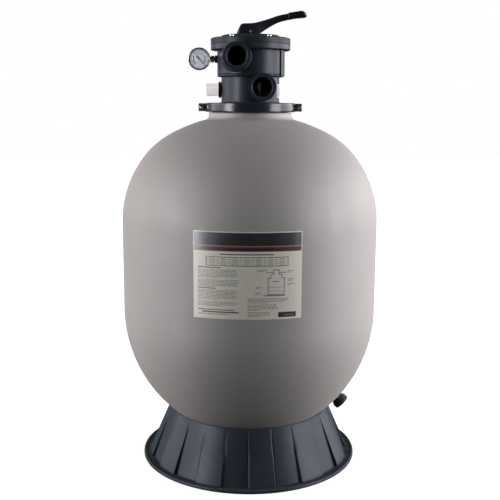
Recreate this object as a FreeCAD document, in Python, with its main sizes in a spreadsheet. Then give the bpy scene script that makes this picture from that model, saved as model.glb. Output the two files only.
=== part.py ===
import FreeCAD, Part
import os
import math
import Sketcher

# Sand filter tank: moulded tank on a fluted skirt, top-mounted six-way valve
# held by a two-piece clamp, side pressure gauge, sight glass, folding
# underdrain and drain outlet.  Millimetres, +Z up, origin on the floor at the
# centre of the skirt, front of the filter towards -Y.

os.makedirs("parts", exist_ok=True)
doc = FreeCAD.newDocument("sand_filter_tank")
V = FreeCAD.Vector
sheet = doc.addObject("Spreadsheet::Sheet", "dims")

DIMS = [
    # tank
    ("shell_rad", 311.0), ("shell_low", 380.0), ("shell_high", 595.0), ("wall", 6.0),
    ("dome_low", 58.36), ("low_flank", 330.6),
    ("up_flank", 256.46), ("up_flank_ang", 32.52), ("up_knee", 217.40), ("up_knee_ang", 62.674),
    ("neck_rad", 100.0), ("neck_foot", 849.0), ("neck_bore", 75.0), ("joint_plane", 869.55),
    # skirt
    ("skirt_top_rad", 198.6), ("skirt_top", 129.5), ("skirt_foot_rad", 251.5), ("skirt_dip_rad", 243.5),
    ("flange_rad", 268.5), ("flange_thick", 4.0), ("panel_count", 12), ("panel_ang", 15.0),
    ("anchor_rad", 253.0), ("anchor_hole", 4.75),
    # label
    ("label_low", 422.0), ("label_high", 612.0), ("label_ang", 45.0), ("label_thick", 0.4),
    # clamp
    ("clamp_rad", 108.0), ("clamp_half", 10.95), ("clamp_lug_end", 124.4), ("clamp_bolt_off", 116.3),
    ("bolt_rad", 3.9), ("bolt_af", 13.0),
    # valve
    ("flange_out", 100.7), ("lower_rad", 69.7), ("upper_rad", 79.5), ("upper_foot", 941.6),
    ("head_foot", 1003.6), ("head_rad", 95.0), ("body_top", 1016.6), ("cover_top", 1031.5),
    ("disc_top", 1038.0), ("disc_rad", 69.0), ("chamber_rad", 74.0), ("deck_top", 957.0), ("deck_bottom", 951.0),
    ("port_rad", 32.0), ("port_bore", 22.2), ("port_face", 102.0), ("port_stop", 74.0), ("return_stop", 65.0), ("port_way", 20.0),
    ("inlet_off", 31.0), ("inlet_up", 986.0), ("return_off", 27.8), ("return_up", 916.0),
    ("waste_off", 31.0), ("waste_up", 986.0),
    ("screw_pitch", 86.0), ("screw_rad", 3.0),
    ("stem_rad", 9.45), ("stem_bore", 9.5), ("pin_up", 1047.0), ("pin_rad", 3.0),
    ("side_up", 911.0), ("seat_flat", 63.6),
    # gauge
    ("gauge_off", 122.0), ("gauge_up", 983.0), ("gauge_rad", 26.5),
    # underdrain
    ("pipe_rad", 24.0), ("pipe_wall", 2.5), ("lateral_up", 150.0), ("pivot_rad", 48.0), ("lateral_rad", 12.0),
    ("lateral_end", 187.0), ("lateral_count", 8),
    # drain
    ("drain_rad", 226.27), ("drain_up", 159.0), ("drain_bore", 9.0), ("drain_thread", 13.0), ("drain_cap_rad", 19.3),
]
for i, (name, value) in enumerate(DIMS):
    sheet.set("A%d" % (i + 1), name)
    sheet.set("B%d" % (i + 1), str(value))
    sheet.setAlias("B%d" % (i + 1), name)
doc.recompute()


class Q:
    """A dimension: its value and the sheet expression that drives it."""
    def __init__(self, text, value):
        self.text, self.value = text, float(value)

    @staticmethod
    def of(x):
        return x if isinstance(x, Q) else Q("(%.6f)" % x if x < 0 else "%.6f" % x, x)

    def __add__(self, o): o = Q.of(o); return Q("(%s + %s)" % (self.text, o.text), self.value + o.value)
    def __radd__(self, o): return Q.of(o) + self
    def __sub__(self, o): o = Q.of(o); return Q("(%s - %s)" % (self.text, o.text), self.value - o.value)
    def __rsub__(self, o): return Q.of(o) - self
    def __mul__(self, o): o = Q.of(o); return Q("(%s * %s)" % (self.text, o.text), self.value * o.value)
    def __rmul__(self, o): return Q.of(o) * self
    def __truediv__(self, o): o = Q.of(o); return Q("(%s / %s)" % (self.text, o.text), self.value / o.value)
    def __neg__(self): return Q("(0 - %s)" % self.text, -self.value)


def qcos(a): return Q("cos(%s * 1 deg)" % a.text, math.cos(math.radians(a.value)))
def qsin(a): return Q("sin(%s * 1 deg)" % a.text, math.sin(math.radians(a.value)))
def qsqrt(a): return Q("sqrt(%s)" % a.text, math.sqrt(a.value))


class Dims:
    def __getattr__(self, name):
        return Q("dims." + name, dict(DIMS)[name])


d = Dims()
NODES = []          # the finished pieces, in order


def val(x):
    return x.value if isinstance(x, Q) else float(x)


def bind(obj, path, x):
    if isinstance(x, Q):
        obj.setExpression(path, x.text)


def place(obj, x=0, y=0, z=0, axis=None, angle=0.0):
    rot = FreeCAD.Rotation(V(*axis), angle) if axis else FreeCAD.Rotation()
    obj.Placement = FreeCAD.Placement(V(val(x), val(y), val(z)), rot)
    for n, c in (("x", x), ("y", y), ("z", z)):
        bind(obj, "Placement.Base." + n, c)
    return obj


def node(obj, label):
    """Marks a finished piece; its label names its file."""
    obj.Label = label
    NODES.append(obj)
    return obj


COUNT = [0]


def uid(prefix):
    COUNT[0] += 1
    return "%s_%03d" % (prefix, COUNT[0])


# ---------------------------------------------------------------- primitives
def cyl(r, h, x=0, y=0, z=0, along="z"):
    o = doc.addObject("Part::Cylinder", uid("rod"))
    o.Radius, o.Height = val(r), val(h)
    bind(o, "Radius", r)
    bind(o, "Height", h)
    turn = {"z": (None, 0), "x": ((0, 1, 0), 90), "-x": ((0, 1, 0), -90), "y": ((1, 0, 0), -90), "-y": ((1, 0, 0), 90)}[along]
    return place(o, x, y, z, *turn)


def box(lx, ly, lz, x=0, y=0, z=0, turn=0.0):
    o = doc.addObject("Part::Box", uid("block"))
    for n, c in (("Length", lx), ("Width", ly), ("Height", lz)):
        setattr(o, n, val(c))
        bind(o, n, c)
    return place(o, x, y, z, (0, 0, 1), turn)


def torus(r1, r2, x=0, y=0, z=0, axis=None, angle=0):
    o = doc.addObject("Part::Torus", uid("ring"))
    o.Radius1, o.Radius2 = val(r1), val(r2)
    bind(o, "Radius1", r1)
    bind(o, "Radius2", r2)
    return place(o, x, y, z, axis, angle)


def hexagon(af, h, x=0, y=0, z=0, along="z"):
    o = doc.addObject("Part::Prism", uid("hex"))
    o.Polygon = 6
    o.Circumradius = val(af) / math.sqrt(3)
    bind(o, "Circumradius", Q.of(af) / math.sqrt(3) if isinstance(af, Q) else af)
    o.Height = val(h)
    bind(o, "Height", h)
    turn = {"z": (None, 0), "x": ((0, 1, 0), 90), "-x": ((0, 1, 0), -90), "y": ((1, 0, 0), -90), "-y": ((1, 0, 0), 90)}[along]
    return place(o, x, y, z, *turn)


def fuse(parts):
    o = doc.addObject("Part::MultiFuse", uid("join"))
    o.Shapes = list(parts)
    o.Refine = True
    return o


def cut(base, tools):
    t = tools[0] if len(tools) == 1 else fuse(tools)
    o = doc.addObject("Part::Cut", uid("trim"))
    o.Base, o.Tool = base, t
    o.Refine = True
    return o


def common(a, b):
    o = doc.addObject("Part::Common", uid("shared"))
    o.Base, o.Tool = a, b
    o.Refine = True
    return o


# ------------------------------------------------------------------ sketches
def outline(sk, pts):
    """Closed outline.  A vertex is (x, y) or (x, y, r, side): the edge that
    arrives at it is then an arc of radius r with its centre on the left (+1)
    or right (-1) of the way travelled."""
    n = len(pts)
    geo, ends, radii = [], [], []
    for i in range(n):
        a, b = pts[i], pts[(i + 1) % n]
        ax, ay, bx, by = val(a[0]), val(a[1]), val(b[0]), val(b[1])
        if len(b) == 4:
            r, side = val(b[2]), b[3]
            mx, my, dx, dy = (ax + bx) / 2, (ay + by) / 2, bx - ax, by - ay
            L = math.hypot(dx, dy)
            k = math.sqrt(max(r * r - L * L / 4, 0.0))
            cx, cy = mx - side * dy / L * k, my + side * dx / L * k
            t0, t1 = math.atan2(ay - cy, ax - cx), math.atan2(by - cy, bx - cx)
            if side < 0:
                t0, t1 = t1, t0
            if t1 < t0:
                t1 += 2 * math.pi
            geo.append(Part.ArcOfCircle(Part.Circle(V(cx, cy, 0), V(0, 0, 1), r), t0, t1))
            ends.append((1, 2) if side > 0 else (2, 1))
            radii.append((i, b[2]))
        else:
            geo.append(Part.LineSegment(V(ax, ay, 0), V(bx, by, 0)))
            ends.append((1, 2))
    first = sk.GeometryCount
    sk.addGeometry(geo, False)
    cons, exprs = [], []
    for i in range(n):
        j = (i + 1) % n
        cons.append(Sketcher.Constraint("Coincident", first + i, ends[i][1], first + j, ends[j][0]))
    base = sk.ConstraintCount
    for i in range(n):
        x, y = pts[i][0], pts[i][1]
        g, p = first + i, ends[i][0]
        if not isinstance(x, Q) and x == 0:
            cons.append(Sketcher.Constraint("PointOnObject", g, p, -2))
        else:
            cons.append(Sketcher.Constraint("DistanceX", -1, 1, g, p, val(x)))
            if isinstance(x, Q):
                exprs.append((base + len(cons) - 1, x))
        if not isinstance(y, Q) and y == 0:
            cons.append(Sketcher.Constraint("PointOnObject", g, p, -1))
        else:
            cons.append(Sketcher.Constraint("DistanceY", -1, 1, g, p, val(y)))
            if isinstance(y, Q):
                exprs.append((base + len(cons) - 1, y))
    for i, r in radii:
        cons.append(Sketcher.Constraint("Radius", first + i, val(r)))
        if isinstance(r, Q):
            exprs.append((base + len(cons) - 1, r))
    sk.addConstraint(cons)
    for k, e in exprs:
        sk.setExpression("Constraints[%d]" % k, e.text)


def new_sketch(body, role):
    sk = body.newObject("Sketcher::SketchObject", uid("sketch"))
    plane = [o for o in body.Origin.OriginFeatures if o.Role == role][0]
    sk.AttachmentSupport = [(plane, "")]
    sk.MapMode = "FlatFace"
    return sk


def turned(pts, angle=None, count=None):
    """A piece turned about Z; an angle gives a sector centred on +X."""
    body = doc.addObject("PartDesign::Body", uid("turned"))
    sk = new_sketch(body, "XZ_Plane")
    outline(sk, pts)
    rev = body.newObject("PartDesign::Revolution", uid("turn"))
    rev.Profile = sk
    rev.ReferenceAxis = (sk, ["V_Axis"])
    rev.Angle = 360 if angle is None else val(angle)
    if angle is not None:
        rev.Midplane = True
        bind(rev, "Angle", angle)
    sk.Visibility = False
    if count is not None:
        doc.recompute()
        pat = body.newObject("PartDesign::PolarPattern", uid("around"))
        pat.Originals = [rev]
        axis = [o for o in body.Origin.OriginFeatures if o.Role == "Z_Axis"][0]
        pat.Axis = (axis, [""])
        pat.Angle = 360
        pat.Occurrences = int(val(count))
        bind(pat, "Occurrences", count)
        body.Tip = pat
    return body


def slab(pts, role, length):
    """An outline padded equally to both sides of its plane."""
    body = doc.addObject("PartDesign::Body", uid("slab"))
    sk = new_sketch(body, role)
    outline(sk, pts)
    pad = body.newObject("PartDesign::Pad", uid("pad"))
    pad.Profile = sk
    pad.Length = val(length)
    bind(pad, "Length", length)
    pad.Midplane = True
    return body


# ====================================================================== tank
c1x = d.shell_rad - d.up_flank
u1c, u1s, u2c, u2s = qcos(d.up_flank_ang), qsin(d.up_flank_ang), qcos(d.up_knee_ang), qsin(d.up_knee_ang)
c2x = c1x + (d.up_flank - d.up_knee) * u1c
c2z = d.shell_high + (d.up_flank - d.up_knee) * u1s
crown = (c2x + d.up_knee * u2c) / u2c
c3z = c2z + d.up_knee * u2s - crown * u2s
k_low = d.low_flank - d.shell_rad
a_low = d.shell_low - d.dome_low
bowl = (d.low_flank * d.low_flank - k_low * k_low - a_low * a_low) / (2 * (d.low_flank - a_low))
c4z = d.dome_low + bowl
tx = k_low / (d.low_flank - bowl)
tz = (c4z - d.shell_low) / (d.low_flank - bowl)
shoulder = d.neck_rad + 12
shell_blank = turned([
    (0, d.dome_low),
    (bowl * tx, c4z + bowl * tz, bowl, 1),
    (d.shell_rad, d.shell_low, d.low_flank, 1),
    (d.shell_rad, d.shell_high),
    (c1x + d.up_flank * u1c, d.shell_high + d.up_flank * u1s, d.up_flank, 1),
    (c2x + d.up_knee * u2c, c2z + d.up_knee * u2s, d.up_knee, 1),
    (shoulder, c3z + qsqrt(crown * crown - shoulder * shoulder), crown, 1),
    (d.neck_rad, d.neck_foot, 13.0, -1),
    (d.neck_rad, d.neck_foot + 8.3),
    (d.neck_rad - 8.5, d.neck_foot + 8.3),
    (d.neck_rad - 8.5, d.joint_plane - 10.0),
    (d.flange_out, d.joint_plane - 6.3),
    (d.flange_out, d.joint_plane - 0.25),
    (88.2, d.joint_plane - 0.25), (88.2, d.joint_plane - 4.45), (81.8, d.joint_plane - 4.45), (81.8, d.joint_plane - 0.25),
    (d.neck_bore, d.joint_plane - 0.25),
    (d.neck_bore, c3z + qsqrt((crown - d.wall) * (crown - d.wall) - d.neck_bore * d.neck_bore)),
    (c2x + (d.up_knee - d.wall) * u2c, c2z + (d.up_knee - d.wall) * u2s, crown - d.wall, -1),
    (c1x + (d.up_flank - d.wall) * u1c, d.shell_high + (d.up_flank - d.wall) * u1s, d.up_knee - d.wall, -1),
    (d.shell_rad - d.wall, d.shell_high, d.up_flank - d.wall, -1),
    (d.shell_rad - d.wall, d.shell_low),
    ((bowl - d.wall) * tx, c4z + (bowl - d.wall) * tz, d.low_flank - d.wall, -1),
    (0, d.dome_low + d.wall, bowl - d.wall, -1),
])

# drain axis: outward normal of the lower dome, 15 degrees forward of +X
daz = math.radians(-15.0)
R_dome = bowl.value
nz = (159.0 - c4z.value) / R_dome
nr = math.sqrt(1 - nz * nz)
DN = V(nr * math.cos(daz), nr * math.sin(daz), nz)
DO = V(R_dome * nr * math.cos(daz), R_dome * nr * math.sin(daz), c4z.value + R_dome * nz)
DROT = FreeCAD.Rotation(V(0, 0, 1), DN)


def on_drain(obj, w=0.0):
    """Stands a piece made along Z on the drain axis, w outside the wall."""
    obj.Placement = FreeCAD.Placement(DO + DN * w, DROT)
    return obj


hole = on_drain(cyl(d.drain_thread + 0.3, 40), -20)
node(cut(shell_blank, [hole]), "tank_shell")

# ===================================================================== skirt
slope_in = 5.0
skirt_blank = turned([
    (d.skirt_top_rad - 2.4, d.skirt_top),
    (d.skirt_top_rad, d.skirt_top),
    (d.skirt_dip_rad, 6.0),
    (d.skirt_dip_rad + 2, d.flange_thick, 2.0, 1),
    (d.flange_rad - 9.0, d.flange_thick),
    (d.flange_rad - 6.5, 6.2),
    (d.flange_rad - 3.2, 8.3, 4.0, -1),
    (d.flange_rad, 5.2, 3.4, -1),
    (d.flange_rad, 1.0),
    (d.flange_rad - 1.0, 0),
    (d.skirt_dip_rad - slope_in, 0),
    (d.skirt_top_rad - 2.1, d.skirt_top - 11.5),
    (d.skirt_top_rad - 8.0, d.skirt_top - 7.5),
    (d.skirt_top_rad - 8.7, d.skirt_top - 5.3),
])
panels = turned([
    (d.skirt_top_rad - 1.6, d.skirt_top - 0.5),
    (d.skirt_top_rad + 0.6, d.skirt_top - 0.5),
    (d.skirt_foot_rad, 6.5),
    (d.skirt_foot_rad, d.flange_thick - 0.5),
    (d.skirt_dip_rad - 2.5, d.flange_thick - 0.5),
], angle=d.panel_ang, count=d.panel_count)
panels.Placement = FreeCAD.Placement(V(0, 0, 0), FreeCAD.Rotation(V(0, 0, 1), 7.5))
holes = []
for az in (-7.5, 172.5):
    a = math.radians(az)
    holes.append(cyl(d.anchor_hole, 20, d.anchor_rad * math.cos(a), d.anchor_rad * math.sin(a), -5))
node(cut(fuse([skirt_blank, panels]), holes), "skirt")

# ===================================================================== label
lab = turned([
    (d.shell_rad + 0.05, d.label_low),
    (d.shell_rad + 0.05 + d.label_thick, d.label_low),
    (d.shell_rad + 0.05 + d.label_thick, d.shell_high),
    (d.shell_rad - 0.22 + d.label_thick, d.label_high),
    (d.shell_rad - 0.22, d.label_high),
    (d.shell_rad + 0.05, d.shell_high),
], angle=d.label_ang)
lab.Placement = FreeCAD.Placement(V(0, 0, 0), FreeCAD.Rotation(V(0, 0, 1), -90.74))
node(lab, "tank_label")

# ============================================================ neck and clamp
node(torus(85.0, 2.3, z=d.joint_plane - 2.1), "neck_oring")
jp, ch = d.joint_plane, d.clamp_half


def clamp_half_ring(front):
    ring = turned([
        (93.0, jp - ch), (d.clamp_rad - 1.5, jp - ch), (d.clamp_rad, jp - ch + 1.5),
        (d.clamp_rad, jp + ch - 1.5), (d.clamp_rad - 1.5, jp + ch), (93.0, jp + ch),
        (93.0, jp + ch - 1.1), (101.3, jp + 6.6), (101.3, jp - 6.6), (93.0, jp - ch + 1.1),
    ])
    lugs = [box(d.clamp_lug_end - 104.0, 22, 2 * ch - 3.0, 104.0, -11, jp - ch + 1.5),
            box(d.clamp_lug_end - 104.0, 22, 2 * ch - 3.0, -d.clamp_lug_end, -11, jp - ch + 1.5)]
    # stiffening webs between lug and ring
    ribs = [box(9, 30, 2.6, 98.0, -15, jp - ch + 1.5), box(9, 30, 2.6, 98.0, -15, jp + ch - 4.1),
            box(9, 30, 2.6, -107.0, -15, jp - ch + 1.5), box(9, 30, 2.6, -107.0, -15, jp + ch - 4.1)]
    bore = cyl(101.3, 40, z=jp - 20)
    keep = box(300, 140, 60, -150, -140.7 if front else 0.7, jp - 30)
    both = fuse([ring, cut(fuse(lugs + ribs), [bore])])
    half = common(both, keep)
    return cut(half, [cyl(4.4, 60, s * d.clamp_bolt_off, -30, jp, "y") for s in (1, -1)])


node(clamp_half_ring(True), "clamp_front")
node(clamp_half_ring(False), "clamp_rear")
bolts, nuts, washers = [], [], []
for s in (1, -1):
    bx = s * d.clamp_bolt_off
    bolts.append(fuse([hexagon(d.bolt_af, 5.3, bx, -17.7, jp, "y"), cyl(d.bolt_rad, 34.0, bx, -12.6, jp, "y")]))
    nuts.append(cut(hexagon(d.bolt_af, 6.4, bx, 12.6, jp, "y"), [cyl(d.bolt_rad + 0.04, 8, bx, 12.0, jp, "y")]))
    for y0 in (-12.35, 11.05):
        washers.append(cut(cyl(7.8, 1.3, bx, y0, jp, "y"), [cyl(4.25, 3, bx, y0 - 1, jp, "y")]))
node(fuse(bolts), "clamp_bolts")
node(fuse(nuts), "clamp_nuts")
node(fuse(washers), "clamp_washers")

# ================================================================ valve body
outer = turned([
    (0, jp + 0.25),
    (d.flange_out, jp + 0.25), (d.flange_out, jp + 6.3), (91.5, jp + 10.0), (91.5, jp + 11.0),
    (d.lower_rad + 4.0, jp + 11.2), (d.lower_rad, jp + 15.2, 4.0, -1),
    (d.lower_rad, d.upper_foot - 1.2), (d.upper_rad - 3.5, d.upper_foot - 0.6),
    (d.upper_rad - 0.3, d.upper_foot + 1.6, 3.6, 1),
    (d.upper_rad - 0.3, d.upper_foot + 3.4, 1.3, 1),
    (d.upper_rad - 1.0, d.upper_foot + 4.4), (d.upper_rad, d.upper_foot + 6.2),
    (d.upper_rad, d.head_foot - 2.5), (d.upper_rad + 2.5, d.head_foot, 2.5, -1),
    (d.head_rad - 1.2, d.head_foot), (d.head_rad, d.head_foot + 1.2), (d.head_rad, d.body_top),
    (0, d.body_top),
])


def port(x, z, side):
    """Round port tube whose mouth faces the front (-1) or the rear (+1)."""
    a = "y" if side > 0 else "-y"
    return [cyl(d.port_rad, d.port_face - 20.0, x, side * 20.0, z, a)]


def port_lip(x, z, side, stop):
    """The mouth's chamfer, the threaded socket down to its stop, and the narrower way on from there."""
    a = "y" if side > 0 else "-y"
    cone = doc.addObject("Part::Cone", uid("bevel"))
    cone.Radius1, cone.Radius2, cone.Height = 22.2, 25.4, 3.2
    y = side * (d.port_face.value - 3.0)
    cone.Placement = FreeCAD.Placement(V(val(x), y, val(z)), FreeCAD.Rotation(V(1, 0, 0), -90 if side > 0 else 90))
    bind(cone, "Placement.Base.z", z)
    return [cyl(d.port_bore, d.port_face - stop + 5.0, x, side * stop, z, a), cyl(d.port_way, stop - 44.0, x, side * 45.0, z, a), cone]


adds = [outer]
adds += port(-d.inlet_off, d.inlet_up, -1) + port(d.return_off, d.return_up, -1) + port(d.waste_off, d.waste_up, 1)
adds.append(cyl(9.0, 14.5, -70.5, 0, d.gauge_up, "-x"))      # gauge boss
adds.append(cyl(16.5, 12.0, -58.0, 0, d.side_up, "-x"))      # sight glass boss
# flared roots of the two upper ports, and the raised pad on the body's right side
for x, side in ((-d.inlet_off, -1), (d.waste_off, 1)):
    flare = doc.addObject("Part::Cone", uid("flare"))
    flare.Radius1, flare.Radius2, flare.Height = 44.7, 32.4, 72.0
    flare.Placement = FreeCAD.Placement(V(val(x), side * 20.0, val(d.inlet_up)), FreeCAD.Rotation(V(1, 0, 0), -90 if side > 0 else 90))
    bind(flare, "Placement.Base.z", d.inlet_up)
    adds.append(flare)
pad_ring = cut(cyl(d.upper_rad + 2.6, 60.2, 0, 0, d.upper_foot + 2.0), [cyl(75.0, 64.0, 0, 0, d.upper_foot)])
adds.append(common(pad_ring, box(14.0, 100.0, 64.0, 72.4, -50.0, d.upper_foot)))
hull = fuse(adds)

ring_tool = turned([
    (30.0, jp - 5), (73.0, jp - 5), (73.0, jp + 7.0), (64.7, jp + 15.0), (64.7, d.deck_bottom), (26.0, d.deck_bottom),
    (26.0, jp + 28.0), (30.0, jp + 28.0),
])
webs = []
for k in range(6):
    az = 60.0 * k
    a = math.radians(az)
    w = box(44.0, 4.0, 60.0, 0, 0, 0)
    w.Placement = FreeCAD.Placement(V(24.0 * math.cos(a) + 2.0 * math.sin(a), 24.0 * math.sin(a) - 2.0 * math.cos(a), 928.0),
                                    FreeCAD.Rotation(V(0, 0, 1), az))
    webs.append(w)
lower_space = cut(ring_tool, webs)
windows = turned([(31.0, d.deck_bottom - 3), (62.0, d.deck_bottom - 3), (62.0, d.deck_top + 3), (31.0, d.deck_top + 3)],
                 angle=Q.of(44.0), count=Q.of(6))
windows.Placement = FreeCAD.Placement(V(0, 0, 0), FreeCAD.Rotation(V(0, 0, 1), 30.0))
core = turned([
    (0, jp - 8), (24.3, jp - 8), (24.3, jp + 5.5), (27.0, jp + 5.5), (27.0, jp + 10.5), (24.3, jp + 10.5),
    (24.3, jp + 26.0), (22.0, jp + 26.0), (22.0, d.deck_top + 5), (0, d.deck_top + 5),
])
upper_space = cyl(d.chamber_rad, 80.0, 0, 0, d.deck_top)
seal_groove = cut(cyl(81.1, 10.0, 0, 0, d.body_top - 3.8), [cyl(76.9, 12.0, 0, 0, d.body_top - 4.8)])
lid_room = cyl(d.head_rad + 0.5, 20.0, 0, 0, d.body_top)
tools = [lower_space, windows, core, upper_space, seal_groove, lid_room]
tools += port_lip(-d.inlet_off, d.inlet_up, -1, d.port_stop) + port_lip(d.return_off, d.return_up, -1, d.return_stop)
tools += port_lip(d.waste_off, d.waste_up, 1, d.port_stop)
tools.append(cyl(5.1, 30.0, -60.0, 0, d.gauge_up, "-x"))
tools.append(cyl(9.0, 32.0, -50.0, 0, d.side_up, "-x"))
tools.append(cyl(9.0, 32.0, 50.0, 0, d.side_up, "x"))
tools.append(box(30, 80, 33, d.seat_flat, -40, d.side_up - 18.5))
for k in range(6):
    a = math.radians(60.0 * k)
    tools.append(cyl(d.screw_rad + 0.05, 12.0, d.screw_pitch * math.cos(a), d.screw_pitch * math.sin(a), d.body_top - 10.0))
for az in (-152.6, 152.6):
    a = math.radians(az)
    tools.append(cyl(0.9, 52.0, (d.upper_rad + 0.2) * math.cos(a), (d.upper_rad + 0.2) * math.sin(a), d.upper_foot + 7.0))
node(cut(hull, tools), "valve_body")

# =============================================================== valve cover
bt, ct, dt = d.body_top, d.cover_top, d.disc_top
cover = turned([
    (d.stem_bore, bt - 8.6), (17.0, bt - 8.6), (17.0, bt + 1.4), (24.0, bt + 8.4), (60.0, bt + 8.4), (68.0, bt + 2.0),
    (68.0, bt - 4.2), (73.5, bt - 4.2), (73.5, bt + 0.4), (d.head_rad, bt + 0.4),
    (d.head_rad, ct - 2.6), (d.head_rad - 2.6, ct, 2.6, 1),
    (d.disc_rad + 7.0, ct), (d.disc_rad + 4.0, ct + 1.6), (d.disc_rad + 1.8, ct + 1.6), (d.disc_rad, ct + 4.4),
    (d.disc_rad - 2.2, dt, 2.8, 1),
    (60.5, dt), (60.5, dt - 0.8), (19.5, dt - 0.8), (19.5, dt), (d.stem_bore + 1.0, dt), (d.stem_bore, dt - 1.0),
])
cover_tools = []
for k in range(6):
    a = math.radians(60.0 * k)
    x, y = d.screw_pitch * math.cos(a), d.screw_pitch * math.sin(a)
    cover_tools += [cyl(d.screw_rad + 0.4, 30.0, x, y, bt - 5), cyl(6.6, 5.0, x, y, ct - 1.6)]
# shallow coring pockets between the screws
for k in range(6):
    for o in (-14.0, 14.0):
        a = math.radians(60.0 * k + 30.0 + o * 0.75)
        cover_tools.append(cyl(4.2, 6.0, 85.5 * math.cos(a), 85.5 * math.sin(a), ct - 2.4))
node(cut(cover, cover_tools), "valve_cover")

screws = []
for k in range(6):
    a = math.radians(60.0 * k)
    x, y = d.screw_pitch * math.cos(a), d.screw_pitch * math.sin(a)
    head = fuse([cyl(5.6, 3.6, x, y, ct - 1.55), cyl(d.screw_rad, 22.5, x, y, ct - 23.0)])
    sock = doc.addObject("Part::Prism", uid("hex"))
    sock.Polygon, sock.Circumradius, sock.Height = 6, 2.9, 3.0
    place(sock, x, y, ct - 0.4)
    screws.append(cut(head, [sock]))
node(fuse(screws), "cover_screws")
node(torus(79.0, 1.9, z=bt - 1.8), "cover_oring")
node(cut(cyl(60.2, 0.7, 0, 0, dt - 0.75), [cyl(19.8, 3, 0, 0, dt - 2)]), "position_plate")

# ============================================================ rotor and stem
gasket_rim = cut(cyl(73.4, 2.9, 0, 0, d.deck_top + 0.05), [cyl(63.5, 6, 0, 0, d.deck_top - 1)])
gasket_mid = cyl(29.5, 2.9, 0, 0, d.deck_top + 0.05)
spokes = []
for k in range(3):
    az = 60.0 * k
    a = math.radians(az)
    s = box(134.0, 5.0, 2.9, 0, 0, 0)
    s.Placement = FreeCAD.Placement(V(-67.0 * math.cos(a) + 2.5 * math.sin(a), -67.0 * math.sin(a) - 2.5 * math.cos(a), 957.05),
                                    FreeCAD.Rotation(V(0, 0, 1), az))
    spokes.append(s)
node(cut(fuse([gasket_rim, gasket_mid] + spokes), [cyl(23.0, 8, 0, 0, d.deck_top - 2)]), "spider_gasket")

rz = d.deck_top + 3.4
rotor_blank = turned([
    (0, rz), (72.0, rz), (72.0, rz + 5.0), (66.0, rz + 8.0), (40.0, rz + 10.5), (22.0, rz + 13.6),
    (19.0, rz + 15.6), (d.stem_rad, rz + 15.6),
    (d.stem_rad, 1016.0), (6.1, 1016.0), (6.1, 1019.4), (d.stem_rad, 1019.4),
    (d.stem_rad, 1026.0), (6.1, 1026.0), (6.1, 1029.4), (d.stem_rad, 1029.4),
    (d.stem_rad, d.pin_up + 7.0), (d.stem_rad - 1.5, d.pin_up + 8.5), (0, d.pin_up + 8.5),
])
way = turned([(31.0, rz - 2), (62.0, rz - 2), (62.0, rz + 20), (31.0, rz + 20)], angle=Q.of(44.0))
way.Placement = FreeCAD.Placement(V(0, 0, 0), FreeCAD.Rotation(V(0, 0, 1), -90.0))
bypass = turned([(0, rz - 2), (62.0, rz - 2), (62.0, rz + 5.0), (0, rz + 9.0)], angle=Q.of(44.0))
bypass.Placement = FreeCAD.Placement(V(0, 0, 0), FreeCAD.Rotation(V(0, 0, 1), 90.0))
eye = cyl(20.5, 10.0, 0, 0, rz - 2)
node(cut(rotor_blank, [way, bypass, eye, cyl(d.pin_rad + 0.02, 40, 0, -20, d.pin_up, "y")]), "rotor")
node(cut(cyl(18.5, 1.2, 0, 0, rz + 15.7), [cyl(d.stem_rad + 0.25, 4, 0, 0, rz + 14)]), "spring_washer_lower")
node(cut(cyl(18.5, 1.3, 0, 0, bt - 10.2), [cyl(d.stem_rad + 0.25, 4, 0, 0, bt - 12)]), "spring_washer_upper")

# closed coil spring around the stem, between the two washers
spring = doc.addObject("PartDesign::Body", uid("coil"))
sk = new_sketch(spring, "XZ_Plane")
wire, coil_r = 1.6, 14.0
sk.addGeometry(Part.Circle(V(coil_r, 0, 0), V(0, 0, 1), wire), False)
sk.addConstraint([Sketcher.Constraint("DistanceX", -1, 1, 0, 3, coil_r), Sketcher.Constraint("PointOnObject", 0, 3, -1),
                  Sketcher.Constraint("Radius", 0, wire)])
hx = spring.newObject("PartDesign::AdditiveHelix", uid("helix"))
hx.Profile = sk
hx.ReferenceAxis = (sk, ["V_Axis"])
hx.Mode = 0
hx.Pitch = 5.36
hx.Height = 25.4
hx.Turns = 4.739
spring.Placement = FreeCAD.Placement(V(0, 0, rz.value + 18.7), FreeCAD.Rotation())
node(spring, "rotor_spring")
node(fuse([torus(7.72, 1.55, z=1017.7), torus(7.72, 1.55, z=1027.7)]), "stem_orings")

# ==================================================================== handle
pu = d.pin_up
side = [
    (-33.0, pu - 8.0), (-8.0, pu - 8.4), (14.0, pu - 8.5), (25.2, pu - 2.2), (42.3, pu + 8.9), (56.8, pu + 17.2, 90.0, -1),
    (71.3, pu + 23.1, 110.0, -1), (89.5, pu + 27.7, 110.0, -1),
    (89.5, pu + 43.6), (85.7, pu + 41.7), (61.5, pu + 36.5, 160.0, 1), (44.7, pu + 30.7), (25.2, pu + 24.7), (5.7, pu + 20.0, 120.0, -1),
    (-11.0, pu + 19.2), (-20.0, pu + 18.6), (-24.0, pu + 15.5, 6.0, 1), (-33.0, pu - 3.0),
]
plan = [
    (-33.5, -15.0), (-28.0, -18.8), (14.0, -18.8), (30.0, -13.0, 26.0, 1), (60.0, -9.5), (89.5, -10.0),
    (89.5, 10.0), (60.0, 9.5), (30.0, 13.0), (14.0, 18.8, 26.0, 1), (-28.0, 18.8), (-33.5, 15.0),
]
blank = common(slab(side, "XZ_Plane", 60.0), slab([(x, y) + tuple(r) for x, y, *r in plan], "XY_Plane", 2400.0))
tang = box(36.0, 9.0, 7.0, 88.0, -4.5, 0)
tang.Placement = FreeCAD.Placement(V(86.0, -4.5, 1078.6), FreeCAD.Rotation(V(0, 1, 0), -8.0))
handle_solid = fuse([blank, tang])
fork = box(29.4, 20.4, 24.0, -14.7, -10.2, pu - 9.5)
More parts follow.
